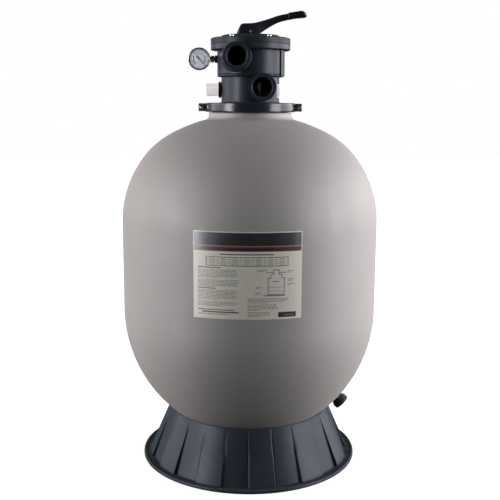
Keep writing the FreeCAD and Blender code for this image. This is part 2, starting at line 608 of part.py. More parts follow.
node(cut(handle_solid, [fork, cyl(d.pin_rad + 0.05, 60, 0, -30, pu, "y")]), "valve_handle")
grip_side = [
    (89.8, pu + 27.4), (108.8, pu + 31.0), (127.0, pu + 32.3), (131.0, pu + 33.6, 6.0, 1), (133.2, pu + 37.0, 5.0, 1),
    (127.5, pu + 46.8), (119.7, pu + 49.0, 10.0, 1), (89.8, pu + 44.4),
]
grip_plan = [(89.8, -11.2), (112.0, -13.4), (126.0, -13.0), (133.5, -6.0, 9.5, 1), (133.5, 6.0), (126.0, 13.0, 9.5, 1),
             (112.0, 13.4), (89.8, 11.2)]
grip = common(slab(grip_side, "XZ_Plane", 60.0), slab(grip_plan, "XY_Plane", 2400.0))
socket = box(36.6, 9.3, 7.3, 0, 0, 0)
socket.Placement = FreeCAD.Placement(V(86.0, -4.65, 1078.45), FreeCAD.Rotation(V(0, 1, 0), -8.0))
node(cut(grip, [socket]), "handle_grip")
node(cyl(d.pin_rad, 36.4, 0, -18.2, pu, "y"), "handle_pin")

# ============================================================== sight glass
su = d.side_up
glass = cut(fuse([cyl(15.0, 34.2, -71.4, 0, su, "-x"), cyl(16.6, 2.2, -71.4, 0, su, "-x")]), [cyl(12.2, 31.5, -70.4, 0, su, "-x")])
node(glass, "sight_glass")
nut_ring = cut(cyl(19.0, 5.6, -70.6, 0, su, "-x"), [cyl(16.75, 3.3, -70.5, 0, su, "-x"), cyl(15.2, 12, -70, 0, su, "-x")])
nut_notches = []
for k in range(12):
    a = math.radians(30.0 * k + 15.0)
    c = cyl(1.6, 14, -68.0, 19.6 * math.cos(a), su + 19.6 * math.sin(a), "-x")
    nut_notches.append(c)
node(cut(nut_ring, nut_notches), "sight_glass_nut")
node(torus(13.2, 0.65, -70.72, 0, su, (0, 1, 0), 90), "sight_glass_oring")
plug = fuse([cyl(14.5, 6.2, d.seat_flat + 0.3, 0, su - 1.8, "x"), cyl(8.9, 9.0, d.seat_flat - 8.0, 0, su, "x")])
node(plug, "sight_port_plug")

# ============================================================ pressure gauge
gx, gu = -d.gauge_off, d.gauge_up


def facing(obj):
    """Lays a piece turned about Z so that its +Z looks to the front."""
    obj.Placement = FreeCAD.Placement(V(-d.gauge_off.value, 0, d.gauge_up.value), FreeCAD.Rotation(V(1, 0, 0), 90))
    bind(obj, "Placement.Base.x", gx)
    bind(obj, "Placement.Base.z", gu)
    return obj


gr = d.gauge_rad
case = facing(turned([
    (0, -13.0), (gr - 4.5, -13.0), (gr - 1.5, -10.0, 3.0, 1), (gr - 1.5, 9.0), (gr - 2.9, 9.0), (gr - 2.9, -9.5), (gr - 4.6, -11.4), (0, -11.4),
]))
port_hole = cyl(6.2, 16.0, -105.0, 0, gu, "x")
node(cut(case, [port_hole]), "gauge_case")
node(facing(turned([
    (gr - 3.6, 12.2), (gr - 1.9, 15.0), (gr - 0.9, 15.0, 1.0, -1), (gr, 13.2, 1.9, -1), (gr, 6.0), (gr - 1.4, 6.0), (gr - 1.4, 11.0), (gr - 3.6, 11.0),
])), "gauge_bezel")
node(facing(turned([(0, 12.3), (gr - 3.8, 12.3), (gr - 3.8, 13.7), (gr - 6.0, 14.2), (0, 14.6)])), "gauge_lens")
dial = facing(turned([(1.3, 7.6), (gr - 3.2, 7.6), (gr - 3.2, 8.2), (1.3, 8.2)]))
node(dial, "gauge_dial")
# needle: at rest its tip points to the zero mark, lower right
ndl = slab([(-8.0, -1.5), (-2.2, -0.9), (2.0, -0.8), (17.0, -0.15), (17.0, 0.15), (2.0, 0.8), (-2.2, 0.9), (-8.0, 1.5)], "XY_Plane", 0.5)
hub = cyl(2.4, 0.9, 0, 0, 9.3)
shaft = cyl(0.9, 12.0, 0, 0, -2.0)
ndl.Placement = FreeCAD.Placement(V(0, 0, 9.7), FreeCAD.Rotation(V(0, 0, 1), -50.0))
needle = fuse([ndl, hub, shaft])
needle.Placement = FreeCAD.Placement(V(-d.gauge_off.value, 0, d.gauge_up.value), FreeCAD.Rotation(V(1, 0, 0), 90))
node(needle, "gauge_needle")
fit_hex = hexagon(14.0, 7.6, -94.4, 0, gu, "x")
fit_stem = cyl(6.0, 12.5, -106.8, 0, gu, "x")
fit_thread = cyl(5.0, 14.0, -87.5, 0, gu, "x")
fit_collar = cyl(5.6, 1.9, -87.0, 0, gu, "x")
node(cut(fuse([fit_hex, fit_stem, fit_thread, fit_collar]), [cyl(1.6, 34.0, -107.5, 0, gu, "x")]), "gauge_fitting")
# C-shaped pressure tube: three quarters of a ring behind the dial
tube = doc.addObject("Part::Torus", uid("ring"))
tube.Radius1, tube.Radius2, tube.Angle3 = 17.2, 2.2, 250.0
tube_cell = FreeCAD.Placement(V(-d.gauge_off.value, 0.5, d.gauge_up.value), FreeCAD.Rotation(V(1, 0, 0), 90))
tube.Placement = tube_cell.multiply(FreeCAD.Placement(V(0, 0, 0), FreeCAD.Rotation(V(0, 0, 1), 12.0)))
node(tube, "bourdon_tube")
move = cut(fuse([box(16.0, 2.0, 18.0, gx - 8.0, -1.6, gu - 9.0), box(16.0, 2.0, 18.0, gx - 8.0, 4.4, gu - 9.0),
                 cyl(1.4, 6.0, gx - 6.0, -0.6, gu - 6.5, "y"), cyl(1.4, 6.0, gx + 6.0, -0.6, gu + 6.5, "y")]),
           [cyl(1.0, 30.0, gx, -15.0, gu, "y")])
node(move, "gauge_movement")

# ================================================================ underdrain
pr = d.pipe_rad
node(cut(cyl(pr, jp + 24.5 - 172.0, 0, 0, 172.0), [cyl(pr - d.pipe_wall, 800.0, 0, 0, 150.0)]), "standpipe")
node(torus(25.75, 1.2, z=jp + 8.0), "standpipe_oring")
spread = turned([
    (pr + 0.2, 806.0), (pr + 4.2, 806.0), (pr + 4.2, 818.0), (60.0, 812.0), (66.0, 806.5), (69.0, 806.5), (62.5, 815.0), (pr + 4.2, 823.0),
    (pr + 4.2, 832.0), (pr + 0.2, 832.0),
])
node(spread, "top_diffuser")
lu = d.lateral_up
hub_blank = turned([
    (0, 66.2), (20.0, 66.8), (20.0, 122.0), (40.0, 128.0), (40.0, 157.0), (34.0, 166.0), (30.0, 172.0), (30.0, 184.0), (pr + 0.25, 184.0), (pr + 0.25, 171.5),
    (20.5, 171.5), (20.5, 165.0), (29.0, 165.0), (36.0, 155.0), (36.0, 132.0), (16.0, 126.0), (0, 126.0),
])
hub_blank.Placement = FreeCAD.Placement(V(0, 0, 0), FreeCAD.Rotation(V(0, 0, 1), 4.0))
ear_holes, ears, pins = [], [], []
for k in range(8):
    az = 22.5 + 45.0 * k
    a = math.radians(az)
    rot = FreeCAD.Rotation(V(0, 0, 1), az)

    def at(x, y, z):
        return V(x * math.cos(a) - y * math.sin(a), x * math.sin(a) + y * math.cos(a), z)
    for y0 in (-11.4, 7.4):
        e = box(17.0, 4.0, 20.0, 0, 0, 0)
        e.Placement = FreeCAD.Placement(at(38.0, y0, 140.0), rot)
        ears.append(e)
    h = cyl(2.45, 30.0)
    h.Placement = FreeCAD.Placement(at(48.0, 15.0, 150.0), rot.multiply(FreeCAD.Rotation(V(1, 0, 0), 90)))
    ear_holes.append(h)
    w = cyl(5.0, 12.0)
    w.Placement = FreeCAD.Placement(at(31.0, 0.0, 150.0), rot.multiply(FreeCAD.Rotation(V(0, 1, 0), 90)))
    ear_holes.append(w)
    p = cyl(2.4, 23.4)
    p.Placement = FreeCAD.Placement(at(48.0, 11.7, 150.0), rot.multiply(FreeCAD.Rotation(V(1, 0, 0), 90)))
    pins.append(p)
node(cut(fuse([hub_blank] + ears), ear_holes), "lateral_hub")
node(fuse(pins), "lateral_pins")
for k in range(8):
    az = 22.5 + 45.0 * k
    eye_r = cyl(6.8, 13.6, d.pivot_rad, -6.8, lu, "y")
    neck = cyl(5.6, 16.0, d.pivot_rad + 2.0, 0, lu, "x")
    collar = cyl(d.lateral_rad, 4.0, 62.0, 0, lu, "x")
    tube = cyl(d.lateral_rad - 0.6, d.lateral_end - 66.0, 64.0, 0, lu, "x")
    cap = cyl(d.lateral_rad, 6.0, d.lateral_end - 6.0, 0, lu, "x")
    bore = cyl(d.lateral_rad - 2.8, d.lateral_end - 72.0, 67.0, 0, lu, "x")
    feed = cyl(3.0, 20.0, 50.5, 0, lu, "x")
    slots = []
    for i in range(9):
        x0 = 74.0 + 12.0 * i
        slots.append(box(2.2, 30.0, 7.4, x0, -15.0, lu + 4.6))
        slots.append(box(2.2, 30.0, 7.4, x0, -15.0, lu - 12.0))
    one = cut(fuse([eye_r, neck, collar, tube, cap]), [bore, feed, cyl(2.45, 30.0, d.pivot_rad, -15.0, lu, "y")] + slots)
    one.Placement = FreeCAD.Placement(V(0, 0, 0), FreeCAD.Rotation(V(0, 0, 1), az))
    node(one, "lateral_%d" % (k + 1))

# ===================================================================== drain
spig = on_drain(turned([
    (d.drain_bore, -11.2), (21.0, -11.2), (21.0, -8.2), (d.drain_thread, -8.2), (d.drain_thread, 16.0), (d.drain_thread - 1.0, 17.0), (d.drain_bore, 17.0),
]))
node(spig, "drain_spigot")
node(on_drain(turned([(d.drain_thread + 0.4, -8.15), (20.0, -8.15), (20.0, -6.95), (d.drain_thread + 0.4, -6.95)])), "drain_seal")
dn = cut(on_drain(hexagon(31.0, 5.0), 1.0), [on_drain(cyl(d.drain_thread + 0.05, 12.0), -2.0)])
node(dn, "drain_nut")
ds = turned([(0, -52.0), (8.0, -52.0), (8.8, -51.0), (8.8, -13.0), (13.0, -13.0), (13.0, -11.4), (6.8, -11.4), (6.8, -49.5), (0, -49.5)])
ds_slots = []
for i in range(5):
    b = on_drain(box(30.0, 3.0, 2.0), 0)
    b.Placement = FreeCAD.Placement(DO + DN * (-46.0 + 6.5 * i), DROT).multiply(FreeCAD.Placement(V(-15.0, -9.5, 0), FreeCAD.Rotation()))
    ds_slots.append(b)
    b = box(30.0, 3.0, 2.0)
    b.Placement = FreeCAD.Placement(DO + DN * (-46.0 + 6.5 * i), DROT).multiply(FreeCAD.Placement(V(-15.0, 6.5, 0), FreeCAD.Rotation()))
    ds_slots.append(b)
node(cut(on_drain(ds), ds_slots), "drain_strainer")
node(on_drain(turned([(9.4, 17.15), (12.9, 17.15), (12.9, 18.35), (9.4, 18.35)])), "drain_cap_seal")
dc = d.drain_cap_rad
cap_blank = on_drain(turned([
    (13.35, 6.8), (dc - 1.0, 6.8), (dc, 7.8), (dc, 18.0), (dc - 3.0, 21.4, 4.4, 1), (9.0, 22.6, 60.0, 1), (8.0, 22.9), (0, 22.9), (0, 18.6), (13.35, 18.6),
]))
cap_blank.Placement = cap_blank.Placement.multiply(FreeCAD.Placement(V(0, 0, 0), FreeCAD.Rotation(V(0, 0, 1), 10.0)))
flutes = []
for k in range(18):
    a = math.radians(20.0 * k)
    f = cyl(1.25, 8.3)
    f.Placement = FreeCAD.Placement(DO + DN * 8.6, DROT).multiply(FreeCAD.Placement(V(20.05 * math.cos(a), 20.05 * math.sin(a), 0), FreeCAD.Rotation()))
    flutes.append(f)
node(cut(cap_blank, flutes), "drain_cap")

# ==================================================================== output
doc.recompute()
bad = [o.Name + " " + ",".join(o.State) for o in doc.Objects if "Invalid" in o.State or "Error" in o.State]
if bad:
    raise RuntimeError("failed objects: " + "; ".join(bad))
for o in NODES:
    s = o.Shape
    if s.isNull() or not s.isValid() or len(s.Solids) < 1:
        raise RuntimeError("%s has no valid shape (%d solids)" % (o.Label, 0 if s.isNull() else len(s.Solids)))
labels = [o.Label for o in NODES]
if len(set(labels)) != len(labels) or len(labels) > 60:
    raise RuntimeError("labels clash or are too many")
for o in NODES:
    b = o.Shape.BoundBox
    print("%-22s solids %2d  vol %10.0f  x %8.1f %8.1f  y %8.1f %8.1f  z %8.1f %8.1f" % (
        o.Label, len(o.Shape.Solids), o.Shape.Volume, b.XMin, b.XMax, b.YMin, b.YMax, b.ZMin, b.ZMax))
    o.Shape.exportStep("parts/" + o.Label + ".step")
print("drain origin", DO, "axis", DN)
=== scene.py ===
import bpy
import bmesh
import math
import random
from mathutils import Vector, Matrix


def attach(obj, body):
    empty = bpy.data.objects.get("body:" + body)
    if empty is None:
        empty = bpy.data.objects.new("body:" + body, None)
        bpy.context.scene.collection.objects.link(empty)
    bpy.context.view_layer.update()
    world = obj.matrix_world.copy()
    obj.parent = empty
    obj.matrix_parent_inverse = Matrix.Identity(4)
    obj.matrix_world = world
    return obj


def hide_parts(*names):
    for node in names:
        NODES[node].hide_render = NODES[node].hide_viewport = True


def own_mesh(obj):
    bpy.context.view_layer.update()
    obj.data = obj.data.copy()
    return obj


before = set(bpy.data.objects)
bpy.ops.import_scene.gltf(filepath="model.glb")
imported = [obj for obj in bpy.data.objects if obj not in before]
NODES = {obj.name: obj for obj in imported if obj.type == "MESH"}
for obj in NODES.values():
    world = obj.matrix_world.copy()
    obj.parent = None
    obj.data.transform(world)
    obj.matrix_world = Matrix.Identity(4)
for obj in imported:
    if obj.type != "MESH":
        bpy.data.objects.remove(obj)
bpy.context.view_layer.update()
random.seed(7)
MM = 0.001


# ---------------------------------------------------------------- materials
def new_mat(name):
    m = bpy.data.materials.new(name)
    m.use_nodes = True
    nt = m.node_tree
    nt.nodes.clear()
    out = nt.nodes.new("ShaderNodeOutputMaterial")
    bsdf = nt.nodes.new("ShaderNodeBsdfPrincipled")
    nt.links.new(bsdf.outputs["BSDF"], out.inputs["Surface"])
    return m, nt, bsdf


def N(nt, kind, **props):
    n = nt.nodes.new(kind)
    for k, v in props.items():
        setattr(n, k, v)
    return n


def noise(nt, vec, scale, detail=4.0, rough=0.5, dist=0.0):
    n = N(nt, "ShaderNodeTexNoise")
    n.inputs["Scale"].default_value = scale
    n.inputs["Detail"].default_value = detail
    n.inputs["Roughness"].default_value = rough
    n.inputs["Distortion"].default_value = dist
    nt.links.new(vec, n.inputs["Vector"])
    return n.outputs["Fac"]


def ramp(nt, fac, stops):
    r = N(nt, "ShaderNodeValToRGB")
    els = r.color_ramp.elements
    while len(els) < len(stops):
        els.new(0.5)
    for e, (p, c) in zip(els, stops):
        e.position = p
        e.color = (*c, 1.0) if len(c) == 3 else c
    nt.links.new(fac, r.inputs["Fac"])
    return r.outputs["Color"]


def math_node(nt, op, a, b=None):
    n = N(nt, "ShaderNodeMath", operation=op)
    for i, x in enumerate((a, b)):
        if x is None:
            continue
        if isinstance(x, (int, float)):
            n.inputs[i].default_value = x
        else:
            nt.links.new(x, n.inputs[i])
    return n.outputs[0]


def coords(nt, scale=(1, 1, 1)):
    tc = N(nt, "ShaderNodeTexCoord")
    mp = N(nt, "ShaderNodeMapping")
    mp.inputs["Scale"].default_value = scale
    nt.links.new(tc.outputs["Object"], mp.inputs["Vector"])
    return mp.outputs["Vector"]


def mix_rgb(nt, fac, a, b, mode="MIX"):
    m = N(nt, "ShaderNodeMix", data_type="RGBA", blend_type=mode)
    if isinstance(fac, (int, float)):
        m.inputs["Factor"].default_value = fac
    else:
        nt.links.new(fac, m.inputs["Factor"])
    for key, x in (("A", a), ("B", b)):
        sock = [s for s in m.inputs if s.name == key and s.type == "RGBA"][0]
        if isinstance(x, tuple):
            sock.default_value = (*x, 1.0)
        else:
            nt.links.new(x, sock)
    return [s for s in m.outputs if s.type == "RGBA"][0]


def bump(nt, bsdf, height, strength, distance, after=None):
    b = N(nt, "ShaderNodeBump")
    b.inputs["Strength"].default_value = strength
    b.inputs["Distance"].default_value = distance
    nt.links.new(height, b.inputs["Height"])
    if after is not None:
        nt.links.new(after, b.inputs["Normal"])
    nt.links.new(b.outputs["Normal"], bsdf.inputs["Normal"])
    return b.outputs["Normal"]


def moulded(name, base, rough=0.4, grain=900.0, grain_h=0.00004, mottle=0.12, spread=0.06,
            spec=0.5, coat=0.0, dust=0.05, edge=0.35, stretch=(1, 1, 1), bevel=0.0006):
    """Moulded plastic: slow tone drift, fine leather-like grain, uneven gloss,
    pale dust on surfaces that look up, and a polished line along edges."""
    m, nt, b = new_mat(name)
    v = coords(nt, stretch)
    tone = noise(nt, v, 9.0, 5.0, 0.6, 0.4)
    fine = noise(nt, v, 140.0, 3.0, 0.6)
    dark = tuple(c * (1 - mottle) for c in base)
    lite = tuple(min(1.0, c * (1 + mottle) + mottle * 0.01) for c in base)
    col = ramp(nt, tone, [(0.3, dark), (0.72, lite)])
    col = mix_rgb(nt, math_node(nt, "MULTIPLY", fine, 0.22), col, tuple(min(1, c * 1.35 + 0.004) for c in base))
    geo = N(nt, "ShaderNodeNewGeometry")
    sep = N(nt, "ShaderNodeSeparateXYZ")
    nt.links.new(geo.outputs["Normal"], sep.inputs[0])
    up = math_node(nt, "MAXIMUM", sep.outputs["Z"], 0.0)
    up = math_node(nt, "POWER", up, 3.0)
    lay = math_node(nt, "MULTIPLY", up, math_node(nt, "MULTIPLY", noise(nt, v, 55.0, 6.0, 0.7), dust * 2))
    col = mix_rgb(nt, lay, col, (0.55, 0.53, 0.5))
    # worn, slightly paler ridges
    pt = math_node(nt, "SUBTRACT", geo.outputs["Pointiness"], 0.53)
    pt = math_node(nt, "MULTIPLY", math_node(nt, "MAXIMUM", pt, 0.0), 6.0 * edge)
    pt = math_node(nt, "MINIMUM", pt, 0.5)
    col = mix_rgb(nt, pt, col, tuple(min(1, c * 2.2 + 0.03) for c in base))
    nt.links.new(col, b.inputs["Base Color"])
    r = ramp(nt, noise(nt, v, 30.0, 5.0, 0.65), [(0.25, (rough - spread,) * 3), (0.8, (rough + spread,) * 3)])
    nt.links.new(r, b.inputs["Roughness"])
    b.inputs["Specular IOR Level"].default_value = spec
    b.inputs["Coat Weight"].default_value = coat
    b.inputs["Coat Roughness"].default_value = 0.25
    bev = None
    if bevel:
        bn = N(nt, "ShaderNodeBevel", samples=4)
        bn.inputs["Radius"].default_value = bevel
        bev = bn.outputs["Normal"]
    g = noise(nt, v, grain, 2.0, 0.5)
    bump(nt, b, g, 0.55, grain_h, bev)
    return m


def metal(name, base, rough=0.25, streak=(1, 1, 1), scale=300.0, tarnish=0.25, grime=(0.08, 0.07, 0.05)):
    m, nt, b = new_mat(name)
    v = coords(nt, streak)
    s = noise(nt, v, scale, 4.0, 0.6)
    t = noise(nt, coords(nt), 90.0, 6.0, 0.7, 0.6)
    col = ramp(nt, s, [(0.25, tuple(c * 0.82 for c in base)), (0.75, base)])
    fac = math_node(nt, "MULTIPLY", ramp(nt, t, [(0.45, (0, 0, 0)), (0.75, (1, 1, 1))]), tarnish)
    col = mix_rgb(nt, fac, col, grime)
    nt.links.new(col, b.inputs["Base Color"])
    b.inputs["Metallic"].default_value = 1.0
    r = ramp(nt, s, [(0.2, (rough * 0.8,) * 3), (0.8, (rough * 1.3,) * 3)])
    nt.links.new(r, b.inputs["Roughness"])
    bump(nt, b, s, 0.3, 0.00002)
    return m


def clear(name, tint=(0.97, 0.985, 0.985), rough=0.04, ior=1.49):
    m, nt, b = new_mat(name)
    v = coords(nt)
    b.inputs["Transmission Weight"].default_value = 1.0
    b.inputs["IOR"].default_value = ior
    col = ramp(nt, noise(nt, v, 40.0, 3.0, 0.5), [(0.2, tuple(c * 0.97 for c in tint)), (0.8, tint)])
    nt.links.new(col, b.inputs["Base Color"])
    r = ramp(nt, noise(nt, v, 260.0, 4.0, 0.6), [(0.3, (rough * 0.6,) * 3), (0.8, (rough * 1.8,) * 3)])
    nt.links.new(r, b.inputs["Roughness"])
    bump(nt, b, noise(nt, v, 120.0, 2.0, 0.5), 0.15, 0.00005)
    return m


def frosted(name, tint=(0.93, 0.895, 0.90)):
    """Milky clear plastic: part lets light through, part scatters it, and a faint painted glow keeps it pale white."""
    m, nt, b = new_mat(name)
    v = coords(nt)
    cloud = noise(nt, v, 34.0, 5.0, 0.6)
    col = ramp(nt, cloud, [(0.3, tuple(c * 0.97 for c in tint)), (0.75, tint)])
    nt.links.new(col, b.inputs["Base Color"])
    b.inputs["Transmission Weight"].default_value = 0.18
    b.inputs["IOR"].default_value = 1.38
    b.inputs["Subsurface Weight"].default_value = 0.6
    b.inputs["Subsurface Radius"].default_value = (0.02, 0.018, 0.018)
    # painted glow: a faint emission makes the milky plastic shine pale white on its own
    b.inputs["Emission Color"].default_value = (1.0, 0.97, 0.975, 1)
    b.inputs["Emission Strength"].default_value = 0.30
    r = ramp(nt, noise(nt, v, 200.0, 4.0, 0.6), [(0.3, (0.20,) * 3), (0.8, (0.36,) * 3)])
    nt.links.new(r, b.inputs["Roughness"])
    bump(nt, b, noise(nt, v, 160.0, 2.0, 0.5), 0.12, 0.00005)
    return m


def rubber(name, base=(0.018, 0.018, 0.02)):
    return moulded(name, base, rough=0.62, grain=700, grain_h=0.00003, mottle=0.2, dust=0.12, edge=0.2, bevel=0.0)


def film(name, base, rough=0.38, mottle=0.03):
    """Printed plastic film: nearly flat ink with faint print grain and slight scuffs."""
    m, nt, b = new_mat(name)
    v = coords(nt)
    tone = noise(nt, v, 22.0, 5.0, 0.6)
    dots = noise(nt, v, 1400.0, 1.0, 0.5)
    col = ramp(nt, tone, [(0.3, tuple(c * (1 - mottle) for c in base)), (0.75, tuple(min(1, c * (1 + mottle)) for c in base))])
    col = mix_rgb(nt, math_node(nt, "MULTIPLY", dots, 0.10), col, tuple(min(1, c * 0.8) for c in base))
    nt.links.new(col, b.inputs["Base Color"])
    r = ramp(nt, noise(nt, v, 60.0, 6.0, 0.7), [(0.3, (rough - 0.06,) * 3), (0.8, (rough + 0.1,) * 3)])
    nt.links.new(r, b.inputs["Roughness"])
    bump(nt, b, noise(nt, v, 260.0, 3.0, 0.6), 0.25, 0.00004)
    return m


def tank_material():
    """Warm grey moulded resin: fine pebble skin, faint cloudy tone, soft sheen."""
    m, nt, b = new_mat("tank_resin")
    v = coords(nt)
    cloud = noise(nt, v, 3.2, 6.0, 0.55, 0.3)
    fleck = noise(nt, v, 420.0, 3.0, 0.7)
    speck = noise(nt, v, 95.0, 4.0, 0.6)
    base = (0.354, 0.351, 0.344)
    col = ramp(nt, cloud, [(0.3, tuple(c * 0.955 for c in base)), (0.7, tuple(c * 1.045 for c in base))])
    col = mix_rgb(nt, math_node(nt, "MULTIPLY", ramp(nt, fleck, [(0.42, (0, 0, 0)), (0.62, (1, 1, 1))]), 0.16), col, tuple(c * 1.22 for c in base))
    col = mix_rgb(nt, math_node(nt, "MULTIPLY", ramp(nt, speck, [(0.5, (0, 0, 0)), (0.8, (1, 1, 1))]), 0.12), col, tuple(c * 0.72 for c in base))
    nt.links.new(col, b.inputs["Base Color"])
    r = ramp(nt, noise(nt, v, 26.0, 5.0, 0.6), [(0.25, (0.56,) * 3), (0.8, (0.70,) * 3)])
    nt.links.new(r, b.inputs["Roughness"])
    b.inputs["Specular IOR Level"].default_value = 0.35
    peb = N(nt, "ShaderNodeTexVoronoi", feature="SMOOTH_F1")
    peb.inputs["Scale"].default_value = 330.0
    peb.inputs["Smoothness"].default_value = 1.0
    nt.links.new(v, peb.inputs["Vector"])
    n1 = bump(nt, b, peb.outputs["Distance"], 0.32, 0.00045)
    bump(nt, b, noise(nt, v, 60.0, 3.0, 0.5), 0.25, 0.0008, n1)
    return m


DARK = (0.036, 0.046, 0.064)
MAT = {
    "tank": tank_material(),
    "skirt": moulded("skirt_plastic", (0.034, 0.046, 0.064), rough=0.38, grain=620, grain_h=0.00006, mottle=0.16, spread=0.06, spec=0.05, dust=0.04, edge=0.22),
    "valve": moulded("valve_plastic", DARK, rough=0.34, grain=900, grain_h=0.00004, mottle=0.12, spec=0.06, dust=0.04, edge=0.3, bevel=0.0012),
    "cover": moulded("cover_plastic", (0.030, 0.038, 0.053), rough=0.42, grain=900, grain_h=0.00004, mottle=0.12, spec=0.05, dust=0.05, edge=0.3, bevel=0.0014),
    "clamp": moulded("clamp_plastic", (0.022, 0.027, 0.042), rough=0.20, spread=0.03, grain=500, grain_h=0.00002, mottle=0.12, spec=0.17, coat=0.0, dust=0.03, edge=0.2),
    "handle": moulded("handle_plastic", (0.017, 0.023, 0.031), rough=0.32, grain=900, grain_h=0.00004, mottle=0.15, spec=0.08, dust=0.05, edge=0.3),
    "grip": moulded("grip_plastic", (0.013, 0.016, 0.020), rough=0.36, grain=1100, grain_h=0.00006, mottle=0.15, spec=0.07, dust=0.04, edge=0.3),
    "black": moulded("black_plastic", (0.016, 0.018, 0.022), rough=0.42, grain=700, spec=0.1, dust=0.06, edge=0.3),
    "cap": moulded("drain_cap_plastic", (0.026, 0.031, 0.040), rough=0.42, grain=800, spec=0.08, dust=0.05, edge=0.4),
    "inner": moulded("inner_plastic", (0.020, 0.020, 0.022), rough=0.5, grain=700, bevel=0.0),
    # rotor: its near-black colour is painted shade, so the valve's ports look dark inside
    "rotor": moulded("rotor_painted_shade", (0.007, 0.008, 0.009), rough=0.5, grain=700, spec=0.1, dust=0.0, bevel=0.0),
    "pipe": moulded("grey_pipe", (0.46, 0.47, 0.48), rough=0.42, grain=500, mottle=0.05, edge=0.1, bevel=0.0),
    "pin": moulded("pin_plastic", (0.4, 0.4, 0.38), rough=0.45, bevel=0.0),
    "rubber": rubber("seal_rubber"),
    "steel": metal("stainless", (0.62, 0.61, 0.58), 0.26, (1, 1, 1), 500),
    "steel_dark": metal("stainless_dark", (0.30, 0.30, 0.31), 0.34, (1, 1, 1), 500),
    "gauge": metal("gauge_steel", (0.22, 0.24, 0.27), 0.36, (1, 1, 1), 260, 0.12, (0.05, 0.05, 0.06)),
    "brass": metal("brass", (0.30, 0.25, 0.11), 0.38, (1, 1, 1), 420, 0.45, (0.10, 0.075, 0.03)),
    "bronze": metal("bronze", (0.45, 0.28, 0.12), 0.3, (1, 1, 1), 420, 0.3),
    "spring": metal("spring_steel", (0.5, 0.5, 0.5), 0.25, (1, 1, 1), 600),
    "clear": clear("clear_plastic"),
    "frosted": frosted("frosted_plastic_painted_glow"),
    "glint": metal("bright_steel", (0.86, 0.86, 0.84), 0.16, (1, 1, 1), 500, 0.06),
    "black_steel": metal("black_oxide", (0.06, 0.065, 0.075), 0.32, (1, 1, 1), 500, 0.15),
    "cover_print": film("cover_print", (0.55, 0.56, 0.56), 0.4),
    "lens": clear("gauge_window", (0.98, 0.985, 0.99), 0.02, 1.45),
    "dial": film("dial_face", (0.66, 0.70, 0.80), 0.5, 0.02),
    "ink": film("dial_ink", (0.03, 0.035, 0.045), 0.45),
    "needle": film("needle_paint", (0.018, 0.018, 0.02), 0.4),
    "plate": film("plate_film", (0.035, 0.037, 0.042), 0.4),
    "plate_ink": film("plate_ink", (0.62, 0.63, 0.62), 0.42),
    "lab_cream": film("label_film", (0.90, 0.91, 0.80), 0.46),
    "lab_navy": film("label_navy", (0.014, 0.017, 0.030), 0.34),
    "lab_red": film("label_red", (0.62, 0.11, 0.045), 0.42),
    "lab_rule": film("label_rule", (0.055, 0.06, 0.06), 0.46),
    "lab_grey": film("label_grey", (0.27, 0.30, 0.27), 0.46),
    "lab_pale": film("label_pale", (0.92, 0.90, 0.87), 0.44),
}
for key, m in MAT.items():
    m.name = m.name


def wear(node, key):
    o = NODES[node]
    o.data.materials.clear()
    o.data.materials.append(MAT[key])
    for p in o.data.polygons:
        p.material_index = 0


# ------------------------------------------------------------------ meshes
def obj_from(name, verts, faces, mats, smooth=True, sharp=32.0, mat_idx=None):
    me = bpy.data.meshes.new(name)
    me.from_pydata([tuple(v) for v in verts], [], faces)
    for m in (mats if isinstance(mats, (list, tuple)) else [mats]):
        me.materials.append(m)
    if mat_idx is not None:
        for p, k in zip(me.polygons, mat_idx):
            p.material_index = k
    for p in me.polygons:
        p.use_smooth = smooth
    me.validate()
    if smooth and sharp is not None:
        me.set_sharp_from_angle(angle=math.radians(sharp))
    o = bpy.data.objects.new(name, me)
    bpy.context.scene.collection.objects.link(o)
    return o


def fillet(profile, radii, steps=4):
    """Rounds the corners of a closed 2-D outline; radii gives one per corner."""
    n, out = len(profile), []
    for i in range(n):
        p, a, b = Vector(profile[i]), Vector(profile[i - 1]), Vector(profile[(i + 1) % n])
        r = radii[i] if isinstance(radii, (list, tuple)) else radii
        if not r:
            out.append(tuple(p))
            continue
        u, w = (a - p), (b - p)
        lu, lw = u.length, w.length
        if lu < 1e-9 or lw < 1e-9:
            out.append(tuple(p))
            continue
        u /= lu
        w /= lw
        dot = max(-0.9999, min(0.9999, u.dot(w)))
        half = math.acos(dot) / 2
        if half > math.radians(87):
            out.append(tuple(p))
            continue
        t = min(r / math.tan(half), lu * 0.48, lw * 0.48)
        r2 = t * math.tan(half)
        c = p + (u + w).normalized() * (r2 / math.sin(half))
        s, e = p + u * t, p + w * t
        a0 = math.atan2(s.y - c.y, s.x - c.x)
        a1 = math.atan2(e.y - c.y, e.x - c.x)
        d = a1 - a0
        while d > math.pi:
            d -= 2 * math.pi
        while d < -math.pi:
            d += 2 * math.pi
        for k in range(steps + 1):
            a = a0 + d * k / steps
            out.append((c.x + r2 * math.cos(a), c.y + r2 * math.sin(a)))
    return out


def arc_pts(a, b, r, side, steps):
    """Points after a up to b on an arc of radius r, centre on the left (+1) or right (-1)."""
    ax, ay, bx, by = *a, *b
    mx, my, dx, dy = (ax + bx) / 2, (ay + by) / 2, bx - ax, by - ay
    L = math.hypot(dx, dy)
    k = math.sqrt(max(r * r - L * L / 4, 0))
    cx, cy = mx - side * dy / L * k, my + side * dx / L * k
    a0, a1 = math.atan2(ay - cy, ax - cx), math.atan2(by - cy, bx - cx)
    d = a1 - a0
    if side > 0 and d < 0:
        d += 2 * math.pi
    if side < 0 and d > 0:
        d -= 2 * math.pi
    return [(cx + r * math.cos(a0 + d * i / steps), cy + r * math.sin(a0 + d * i / steps)) for i in range(1, steps + 1)]


